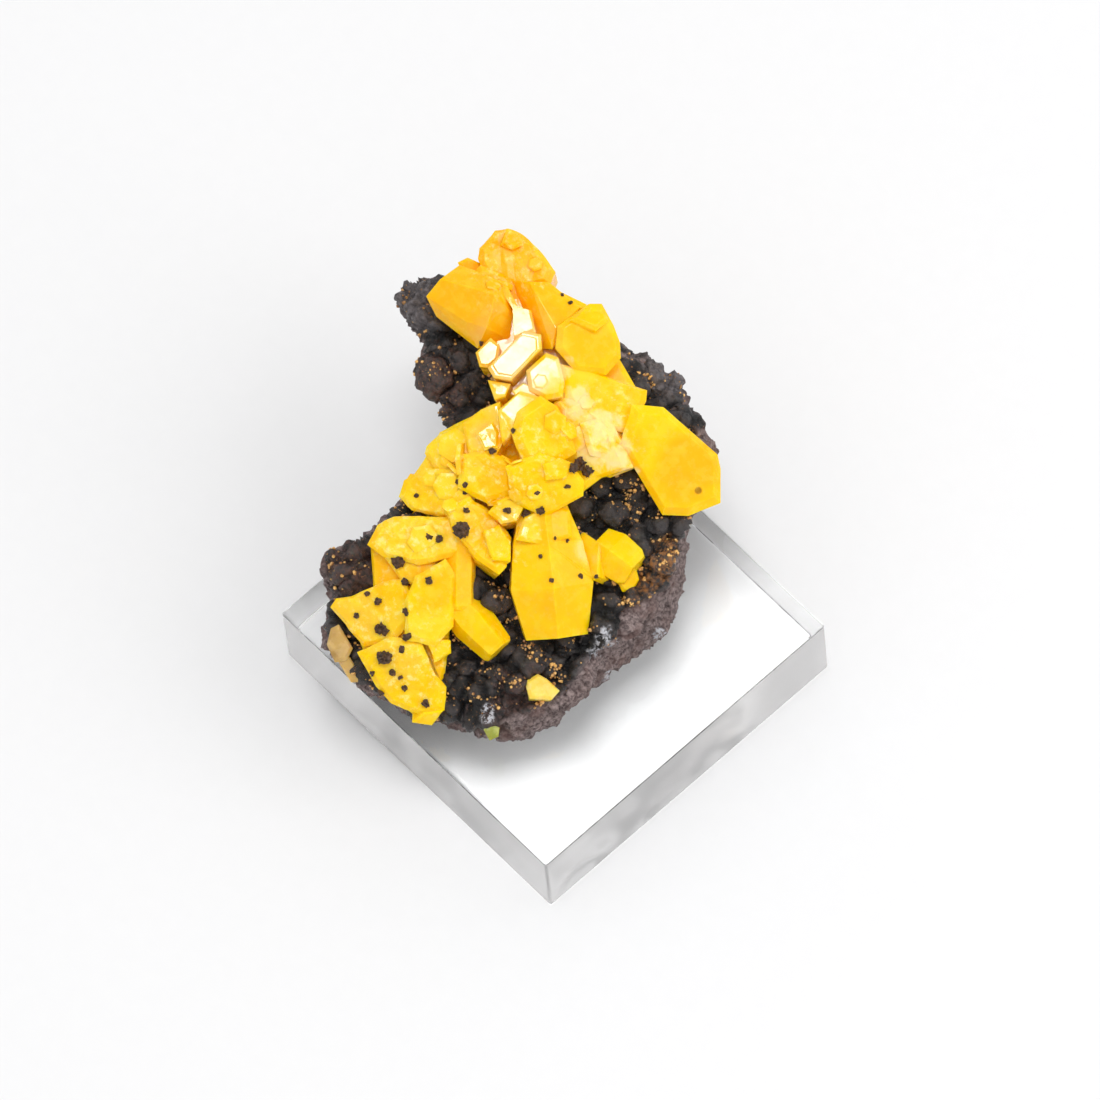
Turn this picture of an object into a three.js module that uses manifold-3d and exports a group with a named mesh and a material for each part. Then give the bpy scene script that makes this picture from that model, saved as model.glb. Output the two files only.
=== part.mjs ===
// A mimetite specimen: yellow hexagonal crystals on dark lumpy rock, fixed on a clear acrylic block.
// Millimetres, +Z up. The origin is the middle of the block's underside, its sides lie along X and Y.
import * as THREE from 'three';
import { ConvexGeometry } from 'three/addons/geometries/ConvexGeometry.js';
import { mergeVertices } from 'three/addons/utils/BufferGeometryUtils.js';
import Module from 'manifold-3d';

const wasm = await Module();
wasm.setup();

// Block
const BLOCK_LENGTH = 39;
const BLOCK_WIDTH = 38;
const BLOCK_HEIGHT = 9.5;
const BLOCK_EDGE = 0.25;

// Clear space left between neighbouring pieces, and the shortest edge kept after a cut
const GAP = 0.3;
const SHORTEST_EDGE = 0.08;
const ROCK_DETAIL = 0.16;

// The crystal face of the specimen: where its middle stands on the block, and how it is turned,
// leaned back and twisted. Places on the specimen are given in that face: across, up and out of it.
const FACE_PLACE = [-5.8, 5.0];
const FACE_TURN = 53.5;
const FACE_LEAN = 26.6;
const FACE_TWIST = -7;

const degrees = THREE.MathUtils.degToRad;

// Seeded random numbers, so that the rock is the same each time.
let seed = 7;
function random() {
  seed = (seed * 1103515245 + 12345) % 2147483648;
  return seed / 2147483648;
}

// Solids
function toSolid(geometry) {
  geometry.deleteAttribute('normal');
  geometry.deleteAttribute('uv');
  const welded = mergeVertices(geometry, 1e-4);
  return new wasm.Manifold(new wasm.Mesh({
    numProp: 3,
    vertProperties: new Float32Array(welded.attributes.position.array),
    triVerts: new Uint32Array(welded.index.array),
  }));
}

function toGeometry(solid) {
  const mesh = solid.getMesh();
  const geometry = new THREE.BufferGeometry();
  geometry.setAttribute('position', new THREE.BufferAttribute(mesh.vertProperties, 3));
  geometry.setIndex(new THREE.BufferAttribute(mesh.triVerts, 1));
  const flat = geometry.toNonIndexed();
  flat.computeVertexNormals();
  return flat;
}

function join(solids) {
  return solids.reduce((sum, solid) => sum.add(solid));
}

// The biggest body of a solid, without the thin chips and very short edges that cutting leaves.
function mainBody(solid) {
  const bodies = solid.simplify(SHORTEST_EDGE).decompose();
  return bodies.reduce((best, body) => (body.volume() > best.volume() ? body : best));
}

// A closed skin over rings with the same number of points, from the first, on top, to the last.
function ringSolid(rings) {
  const count = rings[0].length;
  const corners = rings.flat();
  const faces = [];
  for (let ring = 0; ring + 1 < rings.length; ring += 1) {
    for (let point = 0; point < count; point += 1) {
      const here = ring * count + point;
      const next = ring * count + ((point + 1) % count);
      faces.push(here, here + count, next, next, here + count, next + count);
    }
  }
  const ends = [[0, 1], [(rings.length - 1) * count, -1]];
  for (const [first, way] of ends) {
    const middle = new THREE.Vector3();
    for (let point = 0; point < count; point += 1) middle.addScaledVector(corners[first + point], 1 / count);
    corners.push(middle);
    for (let point = 0; point < count; point += 1) {
      const pair = [first + point, first + ((point + 1) % count)];
      if (way < 0) pair.reverse();
      faces.push(pair[0], pair[1], corners.length - 1);
    }
  }
  const geometry = new THREE.BufferGeometry();
  geometry.setAttribute('position', new THREE.Float32BufferAttribute(corners.flatMap((p) => p.toArray()), 3));
  geometry.setIndex(faces);
  return toSolid(geometry);
}

// Crystals
// A tablet: a flat face with the given outline, its edges bevelled, its sides running back into the
// rock. The face stands out by height and is tipped, and a terrace of growth may lie on it.
function tablet({ outline, height, tip = [0, 0], depth = 5, bevel = 0.35, root = 0.9, terrace = null }) {
  const points = outline.map(([across, up]) => new THREE.Vector2(across, up));
  if (THREE.ShapeUtils.isClockWise(points)) points.reverse();
  const middle = new THREE.Vector2();
  for (const point of points) middle.addScaledVector(point, 1 / points.length);
  const normal = new THREE.Vector3(tip[0], tip[1], 1).normalize();
  const ring = (scale, lift) => points.map((point) => {
    const along = (point.x - middle.x) * scale;
    const rise = (point.y - middle.y) * scale;
    const out = height - tip[0] * along - tip[1] * rise;
    return new THREE.Vector3(middle.x + along, middle.y + rise, out).addScaledVector(normal, lift);
  });
  const width = Math.sqrt(THREE.ShapeUtils.area(points));
  const inner = 1 - (2 * bevel) / width;
  const rings = [ring(inner, 0), ring(1, -bevel * 0.8), ring(root, -depth)];
  if (terrace) {
    const [scale, rise] = terrace;
    rings.unshift(ring(scale * 0.96, rise), ring(scale, 0));
  }
  return ringSolid(rings);
}

// A block: a crystal with the given corners, and with its lowest corners carried down into the rock.
function block({ corners, foot, depth }) {
  const points = corners.map((corner) => new THREE.Vector3(...corner));
  const roots = foot.map(([across, up, out]) => new THREE.Vector3(across, up, out - depth));
  const rim = foot.map((corner) => new THREE.Vector3(...corner));
  return toSolid(new ConvexGeometry([...points, ...rim, ...roots]));
}

// A barrel: a six-sided crystal with its long axis at a bearing in the face and a rise out of it.
// Its rings are pairs of place along the axis, from 0 at the root to 1 at the tip, and radius.
function barrel({ at, bearing, rise, roll = 0, length, rings }) {
  const profile = rings.map(([place, radius]) => new THREE.Vector2(radius, (place - 0.5) * length));
  profile.unshift(new THREE.Vector2(0, profile[0].y));
  profile.push(new THREE.Vector2(0, profile[profile.length - 1].y));
  const geometry = new THREE.LatheGeometry(profile, 6);
  geometry.rotateY(degrees(roll));
  const axis = new THREE.Vector3(
    Math.cos(degrees(rise)) * Math.cos(degrees(bearing)),
    Math.cos(degrees(rise)) * Math.sin(degrees(bearing)),
    Math.sin(degrees(rise)),
  );
  geometry.applyQuaternion(new THREE.Quaternion().setFromUnitVectors(new THREE.Vector3(0, 1, 0), axis));
  geometry.translate(...at);
  return toSolid(geometry);
}

// The plates that grew side by side in the middle of the cluster are all tipped the same way.
const PLATE_TIP = [-0.1, 0.22];

const MAIN_CRYSTALS = [
  // Low beds of crystal that the others stand on
  tablet({
    outline: [
      [-11.0, 11.8], [-5.3, 14.6], [-0.5, 15.5], [5.0, 15.0], [8.2, 8.2], [5.0, 7.2],
      [1.6, 4.6], [-3.0, 3.0], [-8.0, 1.0], [-13.7, 4.0], [-14.9, 5.3], [-12.4, 9.4],
    ],
    height: 13.0, tip: [-0.22, 0.06], depth: 5, bevel: 0.6,
  }),
  tablet({
    outline: [
      [-17.9, 0.5], [-15.6, 3.1], [-9.5, 3.1], [-7.7, 0.0], [-7.8, -5.0], [-10.0, -7.7],
      [-10.6, -13.4], [-13.3, -16.6], [-16.6, -14.0], [-18.6, -10.0], [-19.6, -6.7], [-17.6, -3.6],
    ],
    height: 12.6, tip: [-0.16, -0.02], depth: 5, bevel: 0.5,
  }),
  tablet({
    outline: [
      [-7.0, 28.4], [-0.4, 26.4], [4.6, 24.0], [6.8, 19.2], [8.8, 15.8], [5.0, 14.6],
      [-0.5, 14.4], [-5.6, 15.2], [-5.8, 18.0], [-5.6, 21.0], [-8.6, 23.4], [-9.2, 26.0],
    ],
    height: 11.4, tip: [0.0, 0.12], depth: 6, bevel: 0.5,
  }),
  // Orange block at the upper left
  block({
    corners: [
      [-12.3, 25.2, 10.6], [-10.9, 26.9, 11.6], [-5.4, 25.3, 14.0], [-6.3, 22.0, 12.9], [-8.4, 22.7, 12.0],
      [-9.0, 28.3, 10.4], [-5.0, 26.8, 12.2], [-3.7, 23.5, 12.2],
    ],
    foot: [[-11.3, 23.2, 9.6], [-7.2, 20.0, 11.0], [-4.0, 20.9, 11.2], [-4.2, 25.6, 10.0], [-8.6, 27.8, 8.6], [-11.9, 25.4, 8.8]],
    depth: 6,
  }),
  // Top of the cluster
  tablet({
    outline: [
      [-7.2, 29.0], [-7.1, 30.1], [-5.5, 31.8], [-4.2, 32.1], [-2.7, 31.4],
      [-0.8, 29.6], [0.5, 27.7], [0.0, 26.5], [-3.6, 26.0], [-6.2, 26.8],
    ],
    height: 10.2, tip: [-0.12, 0.2], depth: 6, bevel: 0.5,
  }),
  tablet({
    outline: [[-9.2, 28.6], [-8.2, 29.1], [-7.0, 28.6], [-6.2, 27.2], [-8.4, 27.2]],
    height: 8.6, depth: 4, bevel: 0.25,
  }),
  tablet({
    outline: [[-4.8, 30.6], [-4.2, 32.0], [-2.9, 31.4], [-2.6, 30.4], [-3.6, 29.9]],
    height: 10.7, tip: [0.2, 0.3], depth: 2, bevel: 0.3,
  }),
  // Column behind the plates, with a shaded left side
  block({
    corners: [
      [-2.0, 26.6, 12.6], [0.6, 22.0, 13.6], [0.2, 19.9, 13.4], [-3.8, 26.8, 10.8], [-1.0, 20.0, 11.8],
      [-0.1, 26.6, 11.6], [1.0, 25.3, 11.6], [3.0, 24.1, 11.8], [2.0, 22.7, 12.4],
    ],
    foot: [[-3.8, 26.8, 9.5], [-1.2, 20.0, 10.0], [0.4, 19.6, 10.0], [3.0, 23.8, 9.5], [1.0, 25.3, 9.5], [-0.1, 26.6, 9.5]],
    depth: 5,
  }),
  // Barrel at the upper right
  tablet({
    outline: [
      [0.6, 19.9], [0.8, 22.2], [2.2, 23.1], [4.0, 24.4], [5.2, 24.4],
      [6.4, 22.2], [7.0, 20.6], [7.1, 19.0], [5.6, 17.3], [2.6, 17.6],
    ],
    height: 14.4, tip: [0.14, -0.04], depth: 8, bevel: 0.55, root: 0.82,
  }),
  tablet({
    outline: [[2.0, 22.9], [3.6, 24.4], [5.2, 24.4], [5.9, 22.9], [4.6, 21.8]],
    height: 14.6, tip: [0.2, 0.5], depth: 4, bevel: 0.35,
  }),
  // Parallel plates in the middle
  tablet({
    outline: [[-5.7, 26.9], [-4.4, 26.5], [-3.2, 24.2], [-1.9, 23.8], [-1.4, 21.6], [-3.6, 20.8], [-3.8, 24.0]],
    height: 12.9, tip: PLATE_TIP, depth: 6, bevel: 0.2,
  }),
  tablet({
    outline: [[-7.4, 19.6], [-5.9, 21.1], [-5.0, 20.3], [-5.2, 18.9], [-6.2, 18.1], [-7.0, 18.2]],
    height: 13.7, tip: PLATE_TIP, depth: 5, bevel: 0.18, terrace: [0.82, 0.16],
  }),
  tablet({
    outline: [[-6.2, 18.1], [-2.6, 21.8], [-0.9, 21.4], [-0.8, 20.0], [-3.9, 16.8], [-5.6, 17.1]],
    height: 14.6, tip: PLATE_TIP, depth: 6, bevel: 0.2, terrace: [0.82, 0.16],
  }),
  tablet({
    outline: [[-6.2, 16.9], [-3.9, 16.5], [-4.4, 15.2], [-5.5, 14.9]],
    height: 14.3, tip: PLATE_TIP, depth: 5, bevel: 0.15,
  }),
  tablet({
    outline: [[-2.4, 17.8], [-0.4, 19.6], [0.8, 19.1], [1.4, 16.8], [1.2, 15.2], [-0.4, 14.9], [-2.1, 15.8]],
    height: 15.2, tip: PLATE_TIP, depth: 6, bevel: 0.22, terrace: [0.82, 0.16],
  }),
  tablet({
    outline: [[-3.8, 15.8], [-2.7, 16.6], [-1.2, 16.0], [-1.4, 14.8], [-3.0, 14.6]],
    height: 15.0, tip: PLATE_TIP, depth: 5, bevel: 0.15,
  }),
  tablet({
    outline: [[-5.2, 13.8], [-3.0, 15.8], [-1.0, 15.2], [-3.2, 13.4], [-4.0, 11.2], [-4.8, 10.6]],
    height: 15.9, tip: PLATE_TIP, depth: 6, bevel: 0.2,
  }),
  tablet({
    outline: [[-7.4, 11.6], [-5.7, 12.8], [-5.1, 11.6], [-5.2, 10.1], [-6.6, 9.9]],
    height: 15.2, tip: PLATE_TIP, depth: 4, bevel: 0.15, terrace: [0.82, 0.16],
  }),
  // Dome below the plates
  tablet({
    outline: [[-3.8, 11.6], [-3.2, 13.7], [-0.9, 15.3], [0.8, 14.2], [2.2, 11.6], [2.6, 9.6], [0.6, 8.4], [-2.6, 8.6]],
    height: 16.7, tip: [0.1, 0.02], depth: 7, bevel: 0.75,
  }),
  // Left flank
  tablet({
    outline: [[-8.8, 12.6], [-6.9, 14.0], [-5.0, 14.8], [-4.6, 11.0], [-5.4, 9.4], [-8.2, 9.6]],
    height: 14.6, tip: [-0.25, 0.2], depth: 6, bevel: 0.35,
  }),
  tablet({
    outline: [[-12.6, 9.6], [-12.4, 10.4], [-11.0, 11.7], [-8.8, 12.6], [-6.6, 10.4], [-7.6, 7.4], [-11.0, 7.2]],
    height: 12.6, tip: [-0.34, 0.14], depth: 5, bevel: 0.5,
  }),
  tablet({
    outline: [[-15.1, 5.3], [-14.6, 6.9], [-12.6, 8.1], [-9.6, 8.0], [-7.2, 6.2], [-8.0, 3.4], [-10.4, 3.2], [-13.8, 3.9]],
    height: 13.2, tip: [-0.3, -0.02], depth: 5, bevel: 0.45,
  }),
  tablet({
    outline: [[-9.0, 9.4], [-6.4, 10.0], [-4.0, 8.8], [-3.6, 5.6], [-6.4, 4.6], [-9.2, 6.2]],
    height: 15.4, tip: [-0.2, 0.06], depth: 6, bevel: 0.5,
  }),
  tablet({
    outline: [[-10.4, 4.4], [-8.0, 5.4], [-5.4, 3.6], [-3.8, 1.3], [-4.2, -1.6], [-5.0, -2.4], [-7.2, -0.9], [-9.6, 2.2]],
    height: 15.6, tip: [0.12, 0.2], depth: 6, bevel: 0.45,
  }),
  tablet({
    outline: [[-6.6, 1.9], [-5.0, 2.5], [-3.8, 0.8], [-3.9, -1.2], [-5.6, -0.9]],
    height: 16.3, tip: [0.25, 0.25], depth: 4, bevel: 0.2,
  }),
  // Middle of the cluster
  tablet({
    outline: [[-4.4, 8.2], [-1.0, 9.6], [2.0, 8.6], [3.4, 6.8], [3.3, 5.3], [1.6, 4.4], [-0.6, 3.2], [-3.6, 4.6]],
    height: 17.0, tip: [0.02, -0.12], depth: 6, bevel: 0.4,
  }),
  tablet({
    outline: [[-4.9, 2.6], [-3.4, 2.9], [-2.4, 4.8], [-4.6, 5.2], [-6.2, 3.8]],
    height: 16.4, tip: [-0.1, 0.2], depth: 4, bevel: 0.25,
  }),
  tablet({
    outline: [[-0.8, 8.6], [1.0, 9.2], [2.4, 8.6], [1.6, 7.2], [-0.4, 7.0]],
    height: 17.6, tip: [0.2, 0.2], depth: 3, bevel: 0.25,
  }),
  // Milky mass between the middle and the right crystals
  tablet({
    outline: [[0.4, 14.6], [3.0, 15.6], [6.0, 13.0], [7.9, 10.6], [8.4, 8.0], [6.0, 7.1], [2.6, 8.2], [1.4, 11.0]],
    height: 14.4, tip: [0.1, -0.08], depth: 6, bevel: 0.7,
  }),
  tablet({
    outline: [[3.0, 12.6], [5.2, 13.2], [7.2, 11.0], [6.6, 9.0], [4.0, 9.4]],
    height: 15.1, tip: [0.22, 0.1], depth: 4, bevel: 0.45,
  }),
  // Right side
  tablet({
    outline: [[0.8, 18.6], [4.2, 17.8], [6.3, 17.0], [9.7, 15.9], [9.6, 14.8], [7.8, 11.6], [5.0, 12.0], [1.6, 15.0]],
    height: 14.2, tip: [0.14, 0.16], depth: 6, bevel: 0.5,
  }),
  tablet({
    outline: [
      [7.0, 10.4], [8.2, 14.4], [11.3, 14.1], [14.2, 11.6], [16.7, 9.4],
      [17.0, 8.0], [17.0, 4.6], [13.8, 3.3], [11.2, 3.4], [8.5, 7.9],
    ],
    height: 14.6, tip: [0.12, -0.1], depth: 6, bevel: 0.7, root: 0.8,
  }),
  // Front barrel, its tip toward the front of the block
  barrel({
    at: [-0.1, -1.9, 13.2], bearing: -84, rise: -4, roll: 4, length: 13.4,
    rings: [[0, 2.6], [0.3, 4.0], [0.62, 4.75], [0.98, 3.7], [1, 3.55]],
  }),
  tablet({
    outline: [[-2.6, 3.4], [0.4, 4.6], [2.0, 4.0], [2.2, 1.4], [-0.8, 0.6], [-3.4, 1.2]],
    height: 16.5, tip: [0.05, 0.3], depth: 4, bevel: 0.3,
  }),
  // Lower left
  tablet({
    outline: [[-18.2, 0.6], [-17.2, 2.5], [-15.6, 3.4], [-13.0, 3.5], [-9.5, 3.2], [-7.4, 1.2], [-8.4, -0.3], [-13.0, -1.4], [-16.6, -0.6]],
    height: 14.0, tip: [-0.16, 0.2], depth: 5, bevel: 0.5,
  }),
  tablet({
    outline: [[-16.8, -0.3], [-14.0, -0.4], [-11.0, -1.4], [-12.4, -4.0], [-14.8, -3.0]],
    height: 13.6, tip: [-0.1, 0.0], depth: 5, bevel: 0.3,
  }),
  barrel({
    at: [-8.9, -2.7, 13.7], bearing: -90, rise: 2, roll: 14, length: 6.6,
    rings: [[0, 1.2], [0.3, 1.6], [0.94, 1.5], [1, 1.2]],
  }),
  tablet({
    outline: [[-14.4, -5.0], [-13.4, -2.6], [-10.4, -0.9], [-9.4, -2.4], [-9.6, -7.6], [-11.4, -9.6], [-14.4, -9.0]],
    height: 15.0, tip: [-0.1, -0.05], depth: 5, bevel: 0.45,
  }),
  tablet({
    outline: [[-21.9, -5.7], [-21.3, -4.8], [-19.8, -4.6], [-16.4, -3.1], [-14.4, -2.8], [-13.4, -6.4], [-15.4, -9.0], [-18.6, -9.6], [-20.4, -7.4]],
    height: 13.0, tip: [-0.22, -0.02], depth: 4.5, bevel: 0.45,
  }),
  barrel({
    at: [-7.2, -7.6, 13.4], bearing: -48, rise: 10, roll: 8, length: 6.6,
    rings: [[0, 1.9], [0.4, 2.25], [0.95, 1.75], [1, 1.5]],
  }),
  tablet({
    outline: [[-19.2, -10.2], [-16.0, -8.6], [-12.8, -9.2], [-11.4, -12.4], [-10.3, -13.6], [-10.5, -16.0], [-12.4, -16.6], [-15.8, -15.3], [-17.3, -13.6]],
    height: 13.8, tip: [-0.08, -0.12], depth: 5, bevel: 0.6,
  }),
  tablet({
    outline: [[-13.7, -17.2], [-12.5, -16.2], [-10.5, -16.0], [-11.7, -17.5]],
    height: 13.2, tip: [0.1, -0.9], depth: 3, bevel: 0.15,
  }),
  tablet({
    outline: [[-12.0, -9.4], [-11.2, -8.8], [-9.8, -9.0], [-9.8, -10.3], [-11.4, -11.2]],
    height: 14.2, tip: [0.2, -0.2], depth: 3, bevel: 0.2,
  }),
  // Group right of the front barrel
  tablet({
    outline: [[2.7, 1.6], [3.3, 1.8], [4.9, 0.7], [4.8, -2.6], [4.2, -3.0], [3.4, -0.6]],
    height: 14.4, tip: [-0.55, 0.3], depth: 4, bevel: 0.2,
  }),
  barrel({
    at: [6.7, -0.8, 12.9], bearing: -36, rise: 14, roll: 30, length: 4.6,
    rings: [[0, 2.1], [0.4, 2.7], [0.88, 2.4], [1, 1.9]],
  }),
  tablet({
    outline: [[6.8, -3.3], [7.4, -2.1], [8.6, -1.9], [8.9, -3.0], [8.2, -4.2], [7.2, -4.2]],
    height: 14.0, tip: [0.2, -0.2], depth: 3, bevel: 0.25,
  }),
];

const TAN_PLATES = [
  tablet({
    outline: [[-22.2, -9.4], [-21.8, -7.8], [-21.0, -7.4], [-20.2, -8.8], [-19.6, -9.8], [-20.2, -11.0], [-21.4, -11.2]],
    height: 11.2, tip: [-0.1, -0.06], depth: 2.8, bevel: 0.3, root: 0.8,
  }),
  tablet({
    outline: [[-21.4, -10.6], [-20.2, -10.2], [-19.2, -11.8], [-18.6, -13.1], [-19.8, -13.2]],
    height: 10.8, tip: [-0.1, -0.1], depth: 2.8, bevel: 0.25, root: 0.8,
  }),
];

const LOOSE_CRYSTAL = tablet({
  outline: [[-2.5, -13.0], [-1.2, -12.2], [-0.3, -12.7], [1.0, -13.9], [0.2, -14.8], [-2.0, -14.7]],
  height: 14.9, tip: [0.1, 0.2], depth: 3, bevel: 0.3,
});

const GREEN_CRYSTAL = tablet({
  outline: [[-6.6, -17.8], [-6.0, -17.2], [-5.0, -17.6], [-5.1, -18.5], [-6.0, -18.9]],
  height: 14.2, depth: 2.5, bevel: 0.3,
});

// Rock
// Outline of the rock seen square to its crystal face: across, up, how far its rim stands out, the
// width of the broken edge that slopes down around the rim, and how far that edge goes down.
const ROCK_CENTRE = [-2, 2];
const ROCK_MIDDLE_HEIGHT = 12.2;
const ROCK_OUTLINE = [
  [14.0, 3.0, 11.8, 0.8, 6.0],
  [13.3, 0.6, 12.4, 1.0, 8.0],
  [12.9, -3.9, 12.8, 1.3, 10.0],
  [12.7, -6.1, 13.0, 2.6, 10.0],
  [13.1, -8.6, 13.2, 4.6, 9.5],
  [10.0, -10.2, 13.2, 4.4, 8.6],
  [7.5, -11.8, 13.2, 4.2, 8.0],
  [5.0, -14.0, 13.2, 3.4, 7.4],
  [1.0, -17.0, 13.2, 2.4, 6.0],
  [-3.0, -19.4, 13.2, 2.4, 5.0],
  [-5.0, -19.2, 13.0, 1.8, 4.6],
  [-8.0, -18.0, 12.2, 1.0, 3.6],
  [-11.0, -17.2, 11.6, 0.8, 3.2],
  [-14.8, -16.0, 11.0, 0.8, 3.0],
  [-17.8, -14.0, 10.6, 0.8, 3.0],
  [-20.2, -12.2, 10.0, 0.8, 3.0],
  [-22.1, -10.4, 9.6, 0.8, 3.0],
  [-22.3, -7.9, 9.4, 0.8, 3.0],
  [-22.1, -3.5, 9.4, 1.0, 3.0],
  [-21.2, -1.0, 9.6, 1.2, 3.0],
  [-19.7, 0.4, 9.8, 1.0, 3.0],
  [-17.0, 2.2, 9.8, 0.9, 3.0],
  [-14.6, 5.0, 9.6, 0.8, 3.0],
  [-12.2, 8.2, 9.2, 0.8, 3.0],
  [-9.8, 11.2, 9.4, 0.6, 3.0],
  [-8.8, 12.8, 9.6, 0.6, 3.0],
  [-10.8, 14.8, 9.4, 0.7, 3.0],
  [-12.4, 17.4, 8.6, 0.8, 3.0],
  [-12.2, 20.2, 7.6, 0.9, 3.0],
  [-14.4, 23.6, 4.8, 1.0, 3.0],
  [-14.5, 25.6, 4.4, 1.0, 3.0],
  [-12.0, 26.6, 4.6, 1.0, 3.0],
  [-8.0, 27.0, 5.6, 1.0, 3.0],
  [-3.0, 27.0, 6.4, 1.0, 3.0],
  [1.0, 24.2, 7.4, 1.0, 3.0],
  [5.0, 22.0, 8.0, 1.0, 3.0],
  [7.4, 19.2, 8.4, 1.0, 3.0],
  [10.9, 18.7, 7.0, 1.0, 3.0],
  [13.0, 17.0, 7.0, 1.0, 3.0],
  [12.8, 14.7, 8.0, 0.9, 3.0],
  [14.8, 12.4, 8.4, 0.9, 3.0],
  [16.6, 10.2, 8.6, 0.9, 3.0],
  [16.1, 8.6, 9.4, 0.8, 4.0],
];
const ROCK_SPOKES = 48;

// Grey chunk that stands out at the upper left
const ROCK_CHUNK = {
  corners: [
    [-14.6, 25.0, 4.2], [-14.4, 26.0, 4.4], [-12.5, 26.7, 5.0], [-10.6, 26.9, 6.0],
    [-14.5, 23.8, 4.6], [-13.8, 22.5, 5.4], [-11.8, 20.5, 7.6], [-10.2, 23.5, 8.0],
  ],
  foot: [[-14.2, 25.0, 3.0], [-12.4, 26.3, 3.0], [-9.5, 26.0, 3.0], [-10.0, 21.0, 5.0], [-13.4, 22.8, 3.0]],
  depth: 5,
};
const CHUNK_MIDDLE = [-12.2, 24, 3];

// Fields of lumps on the black crust: across, up, half width, half height, number, and radius.
const LUMP_FIELDS = [
  [-1.4, -13.2, 5.4, 2.2, 10, 1.7],
  [-6.8, -14.2, 3.0, 2.2, 6, 1.7],
  [4.6, -7.6, 3.0, 1.8, 6, 1.7],
  [-6.2, -5.2, 1.2, 2.2, 3, 1.5],
  [6.8, 5.2, 2.6, 1.4, 4, 1.7],
  [10.2, 0.4, 1.4, 2.8, 4, 1.5],
  [-19.6, -2.4, 1.5, 1.5, 4, 1.7],
  [-9.6, 18.2, 1.7, 2.8, 7, 1.8],
  [13.2, 12.2, 1.2, 1.2, 2, 1.6],
  [9.6, 16.8, 1.8, 0.7, 2, 1.6],
];
const BIG_LUMPS = [
  [5.8, 3.4, 2.4],
  [3.4, 4.0, 1.6],
];
const LUMP_SINK = 0.5;
const UNDERSIDE = [[0.95, 2.5], [0.72, 4.5], [0.45, 7.2], [0.2, 14]];

// Where a ray from the rock's centre at this angle meets its outline, with the outline's other values.
function rockEdge(angle) {
  const [cx, cy] = ROCK_CENTRE;
  const ray = [Math.cos(angle), Math.sin(angle)];
  let found = null;
  ROCK_OUTLINE.forEach((from, index) => {
    const to = ROCK_OUTLINE[(index + 1) % ROCK_OUTLINE.length];
    const side = [to[0] - from[0], to[1] - from[1]];
    const start = [from[0] - cx, from[1] - cy];
    const cross = ray[0] * side[1] - ray[1] * side[0];
    const distance = (start[0] * side[1] - start[1] * side[0]) / cross;
    const share = (start[0] * ray[1] - start[1] * ray[0]) / cross;
    if (distance > 0 && share >= 0 && share <= 1 && (!found || distance > found.distance)) {
      const [rim, slope, drop] = [2, 3, 4].map((item) => from[item] + share * (to[item] - from[item]));
      found = { distance, rim, slope, drop };
    }
  });
  return found;
}

// Low waves that make the rock uneven.
function wave(across, up, out) {
  return 0.35 * Math.sin(across * 0.9 + up * 0.4) * Math.cos(up * 0.8 - out * 0.5)
    + 0.2 * Math.sin(across * 1.7 - out * 0.9 + 2) * Math.sin(up * 1.9 + 1);
}

function faceHeight(edge, share) {
  return ROCK_MIDDLE_HEIGHT + (edge.rim - ROCK_MIDDLE_HEIGHT) * share ** 1.7;
}

// Out-of-face height of the rock under a place on the face.
function rockHeight(across, up) {
  const [cx, cy] = ROCK_CENTRE;
  const edge = rockEdge(Math.atan2(up - cy, across - cx));
  const share = Math.hypot(across - cx, up - cy) / (edge.distance - edge.slope);
  return faceHeight(edge, Math.min(share, 1)) + wave(across, up, 0);
}

function lumpPlaces() {
  seed = 7;
  const places = [];
  for (const [across, up, wide, high, count, size] of LUMP_FIELDS) {
    for (let index = 0; index < count; index += 1) {
      const angle = index * 2.4 + random();
      const reach = Math.sqrt((index + 0.5) / count);
      const place = [across + wide * reach * Math.cos(angle), up + high * reach * Math.sin(angle)];
      places.push([...place, size * (0.7 + 0.5 * random())]);
    }
  }
  return places.concat(BIG_LUMPS);
}

// The rock, with every face moved out by grow.
function rock(grow) {
  const [cx, cy] = ROCK_CENTRE;
  const spokes = [];
  for (let index = 0; index < ROCK_SPOKES; index += 1) {
    spokes.push((index / ROCK_SPOKES) * 2 * Math.PI);
  }
  const ring = (shape) => spokes.map((angle) => {
    const [reach, out] = shape(rockEdge(angle));
    const across = cx + reach * Math.cos(angle);
    const up = cy + reach * Math.sin(angle);
    return new THREE.Vector3(across, up, out + wave(across, up, out > 6 ? 0 : out));
  });
  const rings = [0.12, 0.3, 0.48, 0.66, 0.83, 1].map((share) => ring((edge) => [
    share * (edge.distance - edge.slope) + share * grow,
    faceHeight(edge, share) + grow,
  ]));
  rings.push(ring((edge) => [edge.distance - edge.slope * 0.45 + grow, edge.rim - edge.drop * 0.5]));
  rings.push(ring((edge) => [edge.distance + grow, edge.rim - edge.drop]));
  for (const [share, drop] of UNDERSIDE) {
    rings.push(ring((edge) => [edge.distance * share + grow, edge.rim - edge.drop - drop - grow]));
  }
  const lumps = lumpPlaces().map(([across, up, radius]) => {
    const ball = new THREE.IcosahedronGeometry(radius + grow, 1);
    ball.rotateX(across);
    ball.rotateZ(up);
    ball.translate(across, up, rockHeight(across, up) - radius * LUMP_SINK);
    return toSolid(ball);
  });
  const grown = (corner) => corner.map((value, item) => value + grow * Math.sign(value - CHUNK_MIDDLE[item]));
  const chunk = block({
    corners: ROCK_CHUNK.corners.map(grown),
    foot: ROCK_CHUNK.foot.map(grown),
    depth: ROCK_CHUNK.depth + 2 * grow,
  });
  return join([ringSolid(rings), chunk, ...lumps]).simplify(ROCK_DETAIL + grow * 0.3);
}

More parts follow.
